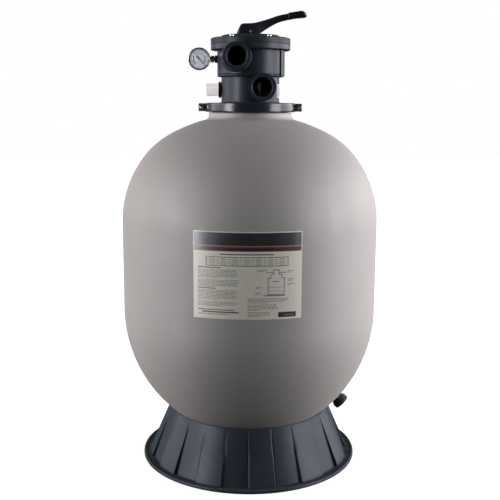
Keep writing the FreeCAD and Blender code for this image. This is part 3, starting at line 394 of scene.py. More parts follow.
def lathe(name, profile, mat, seg=160, xform=None, sharp=32.0, start=0.0):
    """Turns a closed outline of (radius, height) in mm about Z into a closed skin."""
    verts, rings = [], []
    for r, z in profile:
        if r < 1e-6:
            rings.append([len(verts)])
            verts.append((0.0, 0.0, z))
        else:
            rings.append(list(range(len(verts), len(verts) + seg)))
            for k in range(seg):
                a = start + 2 * math.pi * k / seg
                verts.append((r * math.cos(a), r * math.sin(a), z))
    faces = []
    n = len(profile)
    for i in range(n):
        A, B = rings[i], rings[(i + 1) % n]
        if len(A) == 1 and len(B) == 1:
            continue
        for k in range(seg):
            j = (k + 1) % seg
            if len(A) == 1:
                faces.append((A[0], B[j], B[k]))
            elif len(B) == 1:
                faces.append((A[k], A[j], B[0]))
            else:
                faces.append((A[k], A[j], B[j], B[k]))
    M = xform or Matrix.Identity(4)
    S = Matrix.Scale(MM, 4)
    o = obj_from(name, [(S @ M @ Vector(v)) for v in verts], faces, mat, True, sharp)
    fix_normals(o)
    return o


def fix_normals(o, sharp=32.0):
    bm = bmesh.new()
    bm.from_mesh(o.data)
    bmesh.ops.recalc_face_normals(bm, faces=bm.faces)
    bm.to_mesh(o.data)
    bm.free()
    o.data.set_sharp_from_angle(angle=math.radians(sharp))


def ride(o, body):
    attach(o, body)
    return o


# ------------------------------------------------------------------ the tank
R0, Z1, Z2, WALL = 311.0, 380.0, 595.0, 6.0
UR1, UA1, UR2, UA2 = 256.46, math.radians(32.52), 217.40, math.radians(62.674)
LRE, LZB = 330.6, 58.36
JP = 869.55
c1x = R0 - UR1
c2x, c2z = c1x + (UR1 - UR2) * math.cos(UA1), Z2 + (UR1 - UR2) * math.sin(UA1)
UR3 = (c2x + UR2 * math.cos(UA2)) / math.cos(UA2)
c3z = c2z + UR2 * math.sin(UA2) - UR3 * math.sin(UA2)
kk, aa = LRE - R0, Z1 - LZB
BOWL = (LRE * LRE - kk * kk - aa * aa) / (2 * (LRE - aa))
c4z = LZB + BOWL
TX, TZ = kk / (LRE - BOWL), (c4z - Z1) / (LRE - BOWL)


def dome_out(w=0.0, n=1.0):
    """Outer (w=0) or inner (w=wall) line of the tank from the pole up to the neck."""
    pts = [(0.0, LZB + w)]
    tgt = ((BOWL - w) * TX, c4z + (BOWL - w) * TZ)
    pts += arc_pts(pts[-1], tgt, BOWL - w, 1, 26)
    pts += arc_pts(pts[-1], (R0 - w, Z1), LRE - w, 1, 22)
    pts += [(R0 - w, Z1 + (Z2 - Z1) * i / 8) for i in range(1, 9)]
    pts += arc_pts(pts[-1], (c1x + (UR1 - w) * math.cos(UA1), Z2 + (UR1 - w) * math.sin(UA1)), UR1 - w, 1, 16)
    pts += arc_pts(pts[-1], (c2x + (UR2 - w) * math.cos(UA2), c2z + (UR2 - w) * math.sin(UA2)), UR2 - w, 1, 14)
    return pts


sh = 112.0
outer_line = dome_out()
outer_line += arc_pts(outer_line[-1], (sh, c3z + math.sqrt(UR3 ** 2 - sh ** 2)), UR3, 1, 10)
outer_line += arc_pts(outer_line[-1], (100.0, 849.0), 13.0, -1, 6)
neck = [(100.0, 857.3), (91.5, 857.3), (91.5, JP - 10), (100.7, JP - 6.3), (100.7, JP - 0.25), (88.2, JP - 0.25), (88.2, JP - 4.45),
        (81.8, JP - 4.45), (81.8, JP - 0.25), (75.0, JP - 0.25)]
inner_line = dome_out(WALL)
inner_line += arc_pts(inner_line[-1], (75.0, c3z + math.sqrt((UR3 - WALL) ** 2 - 75.0 ** 2)), UR3 - WALL, 1, 8)
neck_r = fillet([(100.0, 849.0)] + neck + [(75.0, 845.0)], [0, 1.2, 0.5, 0, 0, 0.6, 0.3, 0, 0, 0.3, 0.8, 0], 3)[1:-1]
tank = lathe("tank_skin", outer_line + neck_r + inner_line[::-1], MAT["tank"], 288)
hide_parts("tank_shell")
ride(tank, "tank")


# ----------------------------------------------------------------- the skirt
def skirt():
    cols = []                     # (angle in degrees, raised share 0..1)
    for k in range(24):
        a0 = 15.0 * k
        up = k % 2 == 0           # raised intervals start at 0, 30, 60 ... degrees
        edge = 0.16
        n = 8
        # raised panels turn over on a narrow chamfer, set-back ones start in a fine groove
        near = 0.86 if up else -0.10
        full = 1.0 if up else 0.0
        cols += [(a0 + edge, near), (a0 + edge + (0.30 if up else 0.42), full if up else near)]
        if not up:
            cols.append((a0 + edge + 0.62, full))
        for i in range(1, n):
            cols.append((a0 + edge + (15.0 - 2 * edge) * i / n, full))
        if not up:
            cols.append((a0 + 15.0 - edge - 0.62, full))
        cols += [(a0 + 15.0 - edge - (0.30 if up else 0.42), full if up else near), (a0 + 15.0 - edge, near)]
    # drafted step: the two columns either side of a step are 0.32 degrees apart
    rows = []

    def lines(up):
        """Outer line from the rim down to the floor for a raised or set-back column."""
        top = [(196.3, 129.5), (197.6, 129.5), (198.3, 129.25), (198.75, 128.7)]
        pts = list(top)
        r_low, r_high = ((251.3, 6.7), (199.3, 127.9)) if up else ((243.5, 6.2), (199.0, 127.9))
        for i in range(15):
            t = i / 14
            pts.append((r_high[0] + (r_low[0] - r_high[0]) * t, r_high[1] + (r_low[1] - r_high[1]) * t))
        if up:
            pts += [(251.62, 5.4), (251.8, 4.5), (252.3, 4.06)]
        else:
            pts += [(244.1, 5.0), (244.9, 4.3), (246.2, 4.06)]
        pts += [(256.0, 4.02), (259.3, 4.05), (260.6, 4.7), (261.7, 6.0), (263.0, 7.6), (264.6, 8.3), (266.2, 8.1), (267.6, 7.0), (268.3, 5.4),
                (268.5, 4.0), (268.5, 1.4), (268.0, 0.4), (266.9, 0.0), (239.6, 0.0), (238.7, 0.35), (238.4, 1.2)]
        pts += [(217.5, 60.0), (196.6, 117.7), (190.6, 122.0), (189.9, 124.2), (193.0, 126.9), (196.0, 129.3)]
        return pts
    lu, ld = lines(True), lines(False)
    assert len(lu) == len(ld)
    verts, faces = [], []
    nr, nc = len(lu), len(cols)
    for a, up in cols:
        t = math.radians(a)
        for k, (hi, lo) in enumerate(zip(lu, ld)):
            f = up if 5 < k < 22 else max(0.0, min(1.0, up))
            r, z = lo[0] + (hi[0] - lo[0]) * f, lo[1] + (hi[1] - lo[1]) * f
            verts.append((r * MM * math.cos(t), r * MM * math.sin(t), z * MM))
    for c in range(nc):
        d = (c + 1) % nc
        for i in range(nr):
            j = (i + 1) % nr
            faces.append((c * nr + i, c * nr + j, d * nr + j, d * nr + i))
    o = obj_from("skirt_skin", verts, faces, MAT["skirt"], True, 24.0)
    fix_normals(o, 24.0)
    return o


sk = skirt()


def cut_cylinders(o, rods):
    """Boolean cut of round holes: rods are (centre, axis, radius, half length) in metres."""
    tools = []
    for c, ax, r, h in rods:
        bm = bmesh.new()
        bmesh.ops.create_cone(bm, cap_ends=True, segments=40, radius1=r, radius2=r, depth=2 * h)
        me = bpy.data.meshes.new("tool")
        bm.to_mesh(me)
        bm.free()
        t = bpy.data.objects.new("tool", me)
        bpy.context.scene.collection.objects.link(t)
        t.matrix_world = Matrix.Translation(c) @ Vector(ax).to_track_quat("Z", "Y").to_matrix().to_4x4()
        tools.append(t)
    bpy.context.view_layer.update()
    for t in tools:
        md = o.modifiers.new("hole", "BOOLEAN")
        md.operation, md.object, md.solver = "DIFFERENCE", t, "EXACT"
    bake(o)
    for t in tools:
        me = t.data
        bpy.data.objects.remove(t)
        bpy.data.meshes.remove(me)


def bake(o):
    """Applies the modifiers of a piece to its mesh."""
    dg = bpy.context.evaluated_depsgraph_get()
    dg.update()
    me = bpy.data.meshes.new_from_object(o.evaluated_get(dg), preserve_all_data_layers=True, depsgraph=dg)
    old = o.data
    o.modifiers.clear()
    o.data = me
    me.name = old.name
    bpy.data.meshes.remove(old)


rods = []
for az in (-7.5, 172.5):
    a = math.radians(az)
    rods.append((Vector((0.253 * math.cos(a), 0.253 * math.sin(a), 0.004)), (0, 0, 1), 0.00475, 0.02))
cut_cylinders(sk, rods)
sk.data.set_sharp_from_angle(angle=math.radians(24))
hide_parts("skirt")
ride(sk, "tank")


# ----------------------------------------------------------------- the label
def label():
    """A printed film on the tank's front: a grid of cells cut on the borders of
    every printed block, so that each block has a crisp edge.  Blocks are
    (u0, v0, u1, v1, ink), in mm from the lower left corner."""
    W, H = 238.8, 190.0
    CREAM, NAVY, RED, RULE, GREY, PALE = range(6)
    blocks = [(0, 0, W, H, PALE), (1.7, 1.7, W - 1.7, H - 1.7, CREAM)]

    def b(u0, v0, u1, v1, ink):
        blocks.append((u0, v0, u1, v1, ink))
    # header band with one plain stripe
    b(1.7, H - 42.0, W - 1.7, H - 2.2, NAVY)
    b(1.7, H - 32.6, W - 1.7, H - 29.8, RED)
    # outlined table under the header
    tx0, ty0, tx1, ty1 = 29.0, 116.0, 207.5, 136.0
    b(tx0, ty0, tx1, ty1, RULE)
    b(tx0 + 1.1, ty0 + 1.1, tx1 - 1.1, ty1 - 1.1, GREY)
    tx0, ty0, tx1, ty1 = tx0 + 1.1, ty0 + 1.1, tx1 - 1.1, ty1 - 1.1
    rows_t, cols_t = 4, 7
    for i in range(rows_t):
        for j in range(cols_t):
            cw, chh = (tx1 - tx0) / cols_t, (ty1 - ty0) / rows_t
            b(tx0 + j * cw + 0.45, ty0 + i * chh + 0.4, tx0 + (j + 1) * cw - 0.25, ty0 + (i + 1) * chh - 0.25, CREAM)
    rnd = random.Random(11)
    for i in range(rows_t):
        for j in range(cols_t):
            cw, chh = (tx1 - tx0) / cols_t, (ty1 - ty0) / rows_t
            w = cw * rnd.uniform(0.35, 0.62)
            x = tx0 + j * cw + (cw - w) / 2
            y = ty0 + i * chh + 1.7
            b(x, y, x + w, y + 1.2, GREY)
    # title rule over the table
    b(60.0, 140.2, 176.0, 142.6, RULE)

    def para(x, y, w, lines, step, ink, size, seed):
        r = random.Random(seed)
        for k in range(lines):
            if k == lines - 1:
                ww = w * r.uniform(0.35, 0.7)
            else:
                ww = w * r.uniform(0.9, 1.0)
            # a line is a run of short dashes of uneven length
            xx = x
            yy = y - k * step
            while xx < x + ww - 1.5:
                d = min(r.uniform(3.0, 11.0), x + ww - xx)
                b(xx, yy - size, xx + d, yy, ink)
                xx += d + r.uniform(0.9, 1.5)
    # left column of plain ruled text places
    b(11.0, 111.2, 62.0, 113.2, RULE)
    para(11.0, 108.0, 91.0, 7, 2.9, GREY, 1.3, 1)
    para(11.0, 85.6, 91.0, 6, 2.9, GREY, 1.3, 2)
    b(11.0, 66.0, 52.0, 67.8, RULE)
    para(11.0, 63.4, 91.0, 8, 2.9, GREY, 1.3, 3)
    para(11.0, 38.0, 91.0, 4, 2.9, GREY, 1.3, 4)
    # right column: a generic block drawing of a vessel with pipes
    para(140.0, 108.5, 22.0, 2, 2.9, GREY, 1.3, 5)

    def frame_box(x0, y0, x1, y1, t=0.7, ink=RULE, fill=PALE):
        b(x0, y0, x1, y1, ink)
        b(x0 + t, y0 + t, x1 - t, y1 - t, fill)
    frame_box(175.0, 98.0, 188.0, 109.0, 1.3)
    frame_box(169.0, 90.0, 194.0, 99.3, 1.3)
    frame_box(163.0, 54.0, 199.5, 91.3, 1.4)
    b(170.0, 89.0, 193.0, 92.0, PALE)
    b(176.3, 97.0, 186.7, 100.0, PALE)
    b(154.0, 51.4, 201.0, 53.4, RULE)
    b(188.0, 102.0, 203.0, 103.2, RULE)
    b(160.0, 102.0, 175.0, 103.2, RULE)
    b(174.0, 82.6, 189.0, 83.8, RULE)
    b(165.5, 70.0, 197.0, 70.8, GREY)
    b(165.5, 62.0, 197.0, 62.8, GREY)
    for k, (x, y) in enumerate(((206.0, 106.0), (208.0, 88.0), (208.0, 78.0), (138.0, 72.0), (136.0, 59.0))):
        para(x, y, 14.0, 2, 2.9, RULE if k in (1, 2) else GREY, 1.3, 20 + k)
    para(120.0, 46.5, 92.0, 4, 2.9, GREY, 1.3, 6)
    para(120.0, 33.0, 66.0, 5, 2.9, GREY, 1.3, 7)
    para(120.0, 16.5, 50.0, 4, 2.9, GREY, 1.3, 8)
    # foot of the label: blank field and a dark tab
    b(11.0, 19.0, 92.0, 21.0, RULE)
    b(20.0, 13.6, 101.0, 16.6, RULE)
    b(11.0, 9.4, 78.0, 11.0, GREY)
    b(186.0, 4.4, 226.0, 15.6, NAVY)
    b(198.0, 8.8, 221.0, 10.2, GREY)
    us = sorted({round(x, 3) for q in blocks for x in (q[0], q[2])} | {round(W * i / 60, 3) for i in range(61)})
    vs = sorted({round(y, 3) for q in blocks for y in (q[1], q[3])} | {173.0} | {round(173.0 + (H - 173.0) * i / 4, 3) for i in range(5)})
    us = [u for i, u in enumerate(us) if i == 0 or u - us[i - 1] > 0.02]
    vs = [v for i, v in enumerate(vs) if i == 0 or v - vs[i - 1] > 0.02]
    mid = math.radians(-90.74)
    z0 = 422.0

    def place(u, v, lift):
        z = z0 + v
        r = R0 + 0.05 if z <= Z2 else c1x + math.sqrt(UR1 ** 2 - (z - Z2) ** 2) + 0.05
        a = mid + (u - W / 2) / (R0 + 0.4)
        r += lift
        return (r * MM * math.cos(a), r * MM * math.sin(a), z * MM)
    verts, faces, idx = [], [], []
    nu, nv = len(us), len(vs)
    for lift in (0.36, 0.0):
        for v in vs:
            for u in us:
                verts.append(place(u, v, lift))
    # paint order: the last block that covers a cell wins
    grid = [[0] * (nu - 1) for _ in range(nv - 1)]
    for q in blocks:
        for j in range(nv - 1):
            vm = (vs[j] + vs[j + 1]) / 2
            if not q[1] < vm < q[3]:
                continue
            for i in range(nu - 1):
                um = (us[i] + us[i + 1]) / 2
                if q[0] < um < q[2]:
                    grid[j][i] = q[4]
    off = nu * nv
    for j in range(nv - 1):
        for i in range(nu - 1):
            a = j * nu + i
            faces.append((a, a + 1, a + nu + 1, a + nu))
            idx.append(grid[j][i])
            faces.append((off + a, off + a + nu, off + a + nu + 1, off + a + 1))
            idx.append(PALE)
    for i in range(nu - 1):
        for j in (0, nv - 1):
            a = j * nu + i
            q = (a, off + a, off + a + 1, a + 1)
            faces.append(q if j == 0 else q[::-1])
            idx.append(PALE)
    for j in range(nv - 1):
        for i in (0, nu - 1):
            a = j * nu + i
            q = (a, a + nu, off + a + nu, off + a)
            faces.append(q if i == 0 else q[::-1])
            idx.append(PALE)
    o = obj_from("label_skin", verts, faces, [MAT[k] for k in ("lab_cream", "lab_navy", "lab_red", "lab_rule", "lab_grey", "lab_pale")], True, 40.0, idx)
    fix_normals(o, 40.0)
    return o


lab = label()
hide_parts("tank_label")
ride(lab, "tank")


# ------------------------------------------------------- gauge face and needle
GX, GZ = -122.0, 983.0


def prism(verts, faces, mats, outline, y0, y1, k):
    """Adds a closed block: an outline in the gauge plane between two depths."""
    n, base = len(outline), len(verts)
    for y in (y0, y1):
        for x, z in outline:
            verts.append(((GX + x) * MM, y * MM, (GZ + z) * MM))
    faces.append(tuple(range(base, base + n)))
    faces.append(tuple(range(base + 2 * n - 1, base + n - 1, -1)))
    mats += [k, k]
    for i in range(n):
        j = (i + 1) % n
        faces.append((base + j, base + i, base + n + i, base + n + j))
        mats.append(k)


def arc_band(r0, r1, a0, a1, n):
    pts = [(r1 * math.cos(math.radians(a0 + (a1 - a0) * i / n)), r1 * math.sin(math.radians(a0 + (a1 - a0) * i / n))) for i in range(n + 1)]
    pts += [(r0 * math.cos(math.radians(a1 + (a0 - a1) * i / n)), r0 * math.sin(math.radians(a1 + (a0 - a1) * i / n))) for i in range(n + 1)]
    return pts


def text_mesh(word, size, place, depth):
    """A plain number as a mesh; place is the matrix that stands it on its face."""
    cu = bpy.data.curves.new("number", "FONT")
    cu.body, cu.size, cu.extrude, cu.resolution_u = word, size * MM, depth * MM, 4
    cu.align_x, cu.align_y = "CENTER", "CENTER"
    t = bpy.data.objects.new("number", cu)
    bpy.context.scene.collection.objects.link(t)
    bpy.context.view_layer.update()
    me = bpy.data.meshes.new_from_object(t)
    me.transform(place)
    bpy.data.objects.remove(t)
    bpy.data.curves.remove(cu)
    return me


def dial():
    turn = Matrix.Translation((GX, 0, GZ)) @ Matrix.Rotation(math.radians(90), 4, "X")
    face = lathe("dial_disc", [(1.3, 7.6), (23.2, 7.6), (23.3, 7.7), (23.3, 8.15), (23.2, 8.2), (1.3, 8.2)], MAT["dial"], 96, turn)
    verts, faces, mats = [], [], []
    y0, y1 = -8.19, -8.26
    for a0, a1, r0, r1 in ((-50.0, 230.0, 12.9, 13.6), (-50.0, 20.0, 13.5, 14.7), (20.0, 150.0, 20.3, 20.8), (150.0, 230.0, 13.5, 14.9)):
        prism(verts, faces, mats, arc_band(r0, r1, a0, a1, 48), y0, y1, 0)
    for i in range(41):
        a = math.radians(-50.0 + 280.0 * i / 40)
        big = i % 5 == 0
        r0, r1, w = 14.8, (17.0 if big else 16.0), (0.32 if big else 0.16)
        c, q = math.cos(a), math.sin(a)
        prism(verts, faces, mats, [(r0 * c + w * q, r0 * q - w * c), (r1 * c + w * q, r1 * q - w * c), (r1 * c - w * q, r1 * q + w * c), (r0 * c - w * q, r0 * q + w * c)], y0, y1, 0)
    marks = obj_from("dial_marks", verts, faces, MAT["ink"], False)
    fix_normals(marks)
    parts = [face, marks]
    for i in range(9):
        a = math.radians(-50.0 + 280.0 * i / 8)
        r = 19.2
        M = Matrix.Translation(((GX + r * math.cos(a)) * MM, -8.22 * MM, (GZ + r * math.sin(a)) * MM)) @ Matrix.Rotation(math.radians(90), 4, "X")
        me = text_mesh(str(8 - i), 3.3, M, 0.035)
        me.materials.clear()
        me.materials.append(MAT["ink"])
        o = bpy.data.objects.new("dial_number_%d" % i, me)
        bpy.context.scene.collection.objects.link(o)
        parts.append(o)
    return join(parts, "gauge_face")


def join(parts, name):
    """One mesh out of several, keeping each one's own material."""
    mats, bm = [], bmesh.new()
    for o in parts:
        idx = []
        for m in o.data.materials:
            if m not in mats:
                mats.append(m)
            idx.append(mats.index(m))
        first = len(bm.faces)
        bm.from_mesh(o.data)
        bm.faces.ensure_lookup_table()
        for f in bm.faces[first:]:
            f.material_index = idx[min(f.material_index, len(idx) - 1)] if idx else 0
    me = bpy.data.meshes.new(name)
    bm.to_mesh(me)
    bm.free()
    for m in mats:
        me.materials.append(m)
    for o in parts:
        old = o.data
        bpy.data.objects.remove(o)
        bpy.data.meshes.remove(old)
    me.set_sharp_from_angle(angle=math.radians(32))
    o = bpy.data.objects.new(name, me)
    bpy.context.scene.collection.objects.link(o)
    return o


face = dial()
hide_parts("gauge_dial")
ride(face, "tank")


def pointer():
    """Painted pointer with a heavy round tail and a boss over its arbor."""
    verts, faces, mats = [], [], []
    tail = [(-6.9 + 2.5 * math.cos(math.radians(a)), 2.5 * math.sin(math.radians(a))) for a in range(60, 301, 20)]
    line = tail + [(-2.2, -1.6), (2.0, -1.5), (14.0, -0.8), (17.4, -0.2), (17.4, 0.2), (14.0, 0.8), (2.0, 1.5), (-2.2, 1.6)]
    a = math.radians(-50.0)
    line = [(x * math.cos(a) - z * math.sin(a), x * math.sin(a) + z * math.cos(a)) for x, z in line]
    prism(verts, faces, mats, line, -9.68, -10.15, 0)
    blade = obj_from("pointer_blade", verts, faces, MAT["needle"], False)
    fix_normals(blade)
    md = blade.modifiers.new("edge", "BEVEL")
    md.width, md.segments, md.limit_method = 0.00008, 2, "ANGLE"
    bake(blade)
    turn = Matrix.Translation((GX, 0, GZ)) @ Matrix.Rotation(math.radians(90), 4, "X")
    boss = lathe("pointer_boss", [(0, -2.0), (0.9, -2.0), (0.9, 9.3), (2.3, 9.3), (2.4, 9.45), (2.4, 9.95), (2.1, 10.2), (0, 10.2)], MAT["needle"], 32, turn)
    return join([blade, boss], "gauge_pointer")


needle = pointer()
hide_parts("gauge_needle")
ride(needle, "needle")


# ---------------------------------------------- softened skins over CAD shapes
def soften(node, name, key, body, voxel, rounds, factor=0.5):
    """Own skin: the node's shape resampled on a fine grid and relaxed, so that
    every moulded edge turns over on a visible radius."""
    src = NODES[node]
    me = src.data.copy()
    me.name = name
    me.transform(src.matrix_world)
    me.materials.clear()
    me.materials.append(MAT[key])
    for p in me.polygons:
        p.material_index = 0
    o = bpy.data.objects.new(name, me)
    bpy.context.scene.collection.objects.link(o)
    rm = o.modifiers.new("grid", "REMESH")
    rm.mode, rm.voxel_size, rm.use_smooth_shade = "VOXEL", voxel, True
    sm = o.modifiers.new("relax", "SMOOTH")
    sm.factor, sm.iterations = factor, rounds
    bake(o)
    for p in o.data.polygons:
        p.use_smooth = True
    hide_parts(node)
    ride(o, body)
    return o


soften("clamp_front", "clamp_front_skin", "clamp", "tank", 0.0009, 9)
soften("clamp_rear", "clamp_rear_skin", "clamp", "tank", 0.0009, 9)


def curve(pts, x):
    """Smooth line through (x, value) pairs, flat at the ends."""
    if x <= pts[0][0]:
        return pts[0][1]
    if x >= pts[-1][0]:
        return pts[-1][1]
    for k in range(len(pts) - 1):
        if pts[k][0] <= x <= pts[k + 1][0]:
            break
    (x0, v0), (x1, v1) = pts[k], pts[k + 1]
    m0 = (v1 - pts[k - 1][1]) / (x1 - pts[k - 1][0]) if k > 0 else (v1 - v0) / (x1 - x0)
    m1 = (pts[k + 2][1] - v0) / (pts[k + 2][0] - x0) if k < len(pts) - 2 else (v1 - v0) / (x1 - x0)
    h, t = x1 - x0, (x - x0) / (x1 - x0)
    return ((2 * t ** 3 - 3 * t ** 2 + 1) * v0 + (t ** 3 - 2 * t ** 2 + t) * h * m0 + (-2 * t ** 3 + 3 * t ** 2) * v1 + (t ** 3 - t ** 2) * h * m1)


def loft(name, xs, top, low, wide, power, mat, around=56):
    """Skin over rounded sections set along X: each has its own top, bottom, half width and squareness."""
    verts, faces = [], []
    for x in xs:
        zt, zb, w, n = curve(top, x), curve(low, x), curve(wide, x), curve(power, x)
        zm, h = (zt + zb) / 2, max((zt - zb) / 2, 0.2)
        for k in range(around):
            a = 2 * math.pi * k / around
            c, q = math.cos(a), math.sin(a)
            verts.append((x * MM, w * MM * math.copysign(abs(c) ** (2 / n), c), (1047.0 + zm + h * math.copysign(abs(q) ** (2 / n), q)) * MM))
    m = len(xs)
    for i in range(m - 1):
        for k in range(around):
            j = (k + 1) % around
            faces.append((i * around + k, i * around + j, (i + 1) * around + j, (i + 1) * around + k))
    faces.append(tuple(range(around - 1, -1, -1)))
    faces.append(tuple(range((m - 1) * around, m * around)))
    o = obj_from(name, verts, faces, mat, True, 50.0)
    fix_normals(o, 50.0)
    return o


def handle():
    xs = [-33.0, -32.4, -31.4, -30.0] + [-28.0 + 117.0 * i / 70 for i in range(71)] + [89.25]
    top = [(-33.0, -4.0), (-32.0, -0.5), (-28.5, 7.2), (-25.0, 13.8), (-22.0, 17.4), (-18.0, 18.8), (-8.0, 19.2), (5.7, 20.0), (15.0, 21.9), (25.2, 24.7),
           (44.7, 30.7), (61.5, 36.5), (75.0, 39.9), (86.0, 41.9), (89.25, 43.0)]
    low = [(-33.0, -8.0), (-8.0, -8.4), (10.0, -8.4), (16.0, -7.4), (25.2, -2.0), (42.3, 8.9), (56.8, 17.2), (71.3, 23.1), (89.25, 27.6)]
    wide = [(-33.0, 12.5), (-31.0, 15.6), (-27.0, 18.0), (-20.0, 18.8), (0.0, 18.8), (8.0, 18.2), (18.0, 16.2), (30.0, 13.2), (42.0, 11.2), (60.0, 9.8), (89.25, 10.0)]
    power = [(-33.0, 3.2), (-20.0, 4.6), (6.0, 4.2), (30.0, 3.0), (60.0, 2.7), (89.25, 2.9)]
    o = loft("handle_skin", xs, top, low, wide, power, MAT["handle"])
    bm = bmesh.new()
    bmesh.ops.create_cube(bm, size=1.0, matrix=Matrix.Translation((0, 0, (1047.0 - 9.5 + 12.0) * MM)) @ Matrix.Diagonal((29.4 * MM, 20.4 * MM, 24.0 * MM, 1.0)))
    me = bpy.data.meshes.new("fork")
    bm.to_mesh(me)
    bm.free()
    t = bpy.data.objects.new("fork", me)
    bpy.context.scene.collection.objects.link(t)
    bpy.context.view_layer.update()
    md = o.modifiers.new("fork", "BOOLEAN")
    md.operation, md.object, md.solver = "DIFFERENCE", t, "EXACT"
    bake(o)
    bpy.data.objects.remove(t)
    bpy.data.meshes.remove(me)
    cut_cylinders(o, [(Vector((0, 0, 1.047)), (0, 1, 0), 0.0033, 0.03)])
    o.data.set_sharp_from_angle(angle=math.radians(48))
    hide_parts("valve_handle")
    ride(o, "handle")
    xs = [89.8, 90.1, 90.8, 92.0] + [93.0 + 36.0 * i / 30 for i in range(31)] + [130.2, 131.2, 132.0, 132.6, 133.0, 133.2]
    top = [(89.8, 43.6), (90.8, 44.5), (100.0, 45.9), (110.0, 47.6), (118.0, 48.7), (122.0, 48.8), (126.0, 47.6), (129.0, 45.2), (131.5, 41.8), (133.2, 38.2)]
    low = [(89.8, 28.3), (90.8, 27.7), (100.0, 29.6), (108.8, 31.0), (120.0, 32.0), (127.0, 32.5), (130.0, 33.2), (132.0, 34.6), (133.2, 36.6)]
    wide = [(89.8, 10.4), (90.8, 11.2), (100.0, 12.3), (112.0, 13.4), (122.0, 13.2), (127.0, 12.2), (130.5, 9.8), (133.2, 5.6)]
    power = [(89.8, 3.0), (133.2, 2.6)]
    g = loft("grip_skin", xs, top, low, wide, power, MAT["grip"])
    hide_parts("handle_grip")
    ride(g, "handle")


handle()


def bolts():
    """Clamp bolts: black hexagon heads with a bright domed washer face."""
    parts = []
    for x in (-116.3, 116.3):
        turn = Matrix.Translation((x, 0, JP)) @ Matrix.Rotation(math.radians(90), 4, "X")
        verts, faces = [], []
        rings = [(6.9, 12.5), (7.5, 12.9), (7.5, 17.0), (6.6, 17.65), (4.4, 17.65)]
        for r, h in rings:
            for k in range(6):
                a = math.radians(60 * k + 30)
                v = turn @ Vector((r * math.cos(a), r * math.sin(a), h))
                verts.append(v * MM)
        for i in range(len(rings) - 1):
            for k in range(6):
                j = (k + 1) % 6
                faces.append((i * 6 + k, i * 6 + j, i * 6 + 6 + j, i * 6 + 6 + k))
        faces.append(tuple(range(5, -1, -1)))
        faces.append(tuple(range(24, 30)))
        head = obj_from("bolt_head", verts, faces, MAT["black_steel"], False)
        fix_normals(head)
        md = head.modifiers.new("edge", "BEVEL")
        md.width, md.segments = 0.0003, 2
        bake(head)
        dome = lathe("bolt_dome", [(0, 17.3), (3.6, 17.3), (3.5, 17.75), (2.6, 18.1), (1.4, 18.3), (0, 18.35)], MAT["glint"], 32, turn)
        shank = lathe("bolt_shank", [(0, 13.0), (3.0, 13.0), (3.0, -22.0), (2.5, -22.5), (0, -22.5)], MAT["steel"], 32, turn)
        parts += [head, dome, shank]
    return join(parts, "clamp_bolt_set")


bl = bolts()
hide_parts("clamp_bolts")
ride(bl, "tank")


def plate():
    """Ring plate on the cover: six pale windows with plain numbers."""
    ring = lathe("plate_ring", [(19.8, 1037.25), (60.2, 1037.25), (60.2, 1037.85), (60.1, 1037.95), (19.9, 1037.95), (19.8, 1037.85)], MAT["plate"], 144)
    parts = [ring]
    verts, faces = [], []
    for k in range(6):
        mid = -90.0 + 60.0 * k
        n = 14
        o0 = len(verts)
        out = [(57.0, mid - 13 + 26 * i / n) for i in range(n + 1)] + [(44.0, mid + 13 - 26 * i / n) for i in range(n + 1)]
        for z in (1037.93, 1037.99):
            for r, a in out:
                verts.append((r * MM * math.cos(math.radians(a)), r * MM * math.sin(math.radians(a)), z * MM))
        m = len(out)
        faces.append(tuple(range(o0 + m - 1, o0 - 1, -1)))
        faces.append(tuple(range(o0 + m, o0 + 2 * m)))
        for i in range(m):
            j = (i + 1) % m
            faces.append((o0 + i, o0 + j, o0 + m + j, o0 + m + i))
    win = obj_from("plate_windows", verts, faces, MAT["cover_print"], False)
    fix_normals(win)
    parts.append(win)
    for k in range(6):
        mid = math.radians(-90.0 + 60.0 * k)
        M = Matrix.Translation((50.5 * MM * math.cos(mid), 50.5 * MM * math.sin(mid), 1038.01 * MM)) @ Matrix.Rotation(mid + math.radians(90), 4, "Z")
        me = text_mesh(str(k + 1), 9.0, M, 0.04)
        me.materials.clear()
        me.materials.append(MAT["ink"])
        o = bpy.data.objects.new("plate_number_%d" % k, me)
        bpy.context.scene.collection.objects.link(o)
        parts.append(o)
    return join(parts, "position_ring")


pl = plate()
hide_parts("position_plate")
ride(pl, "tank")


def spring():
    """The rotor's coil spring: same coil, as its own mesh riding on the rotor."""
    src = NODES["rotor_spring"]
    me = src.data.copy()
    me.name = "rotor_coil"
    me.transform(src.matrix_world)
    me.materials.clear()
    me.materials.append(MAT["spring"])
    for p in me.polygons:
        p.material_index = 0
    o = bpy.data.objects.new("rotor_coil", me)
    bpy.context.scene.collection.objects.link(o)
    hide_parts("rotor_spring")
    ride(o, "rotor")
    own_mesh(o)


spring()

# --------------------------------------------------------- carried-over nodes
for node, key in {
    "neck_oring": "rubber", "clamp_nuts": "steel", "clamp_washers": "steel",
    "valve_body": "valve", "valve_cover": "cover", "cover_screws": "steel_dark", "cover_oring": "rubber", 
    "spider_gasket": "rubber", "sight_glass": "frosted", "sight_glass_nut": "black", "sight_glass_oring": "rubber", "sight_port_plug": "frosted",
    "gauge_case": "gauge", "gauge_bezel": "gauge", "gauge_lens": "lens", "gauge_fitting": "brass", "bourdon_tube": "bronze",
    "gauge_movement": "brass", "standpipe": "pipe", "standpipe_oring": "rubber", "top_diffuser": "inner",
    "lateral_hub": "inner", "lateral_pins": "pin", "drain_spigot": "black", "drain_seal": "rubber", "drain_nut": "black",
    "drain_strainer": "inner", "drain_cap_seal": "rubber", "drain_cap": "cap", "rotor": "rotor", 
    "spring_washer_lower": "steel", "spring_washer_upper": "steel", "stem_orings": "rubber", "handle_pin": "steel",
}.items():
    wear(node, key)
for k in range(8):
    wear("lateral_%d" % (k + 1), "inner")

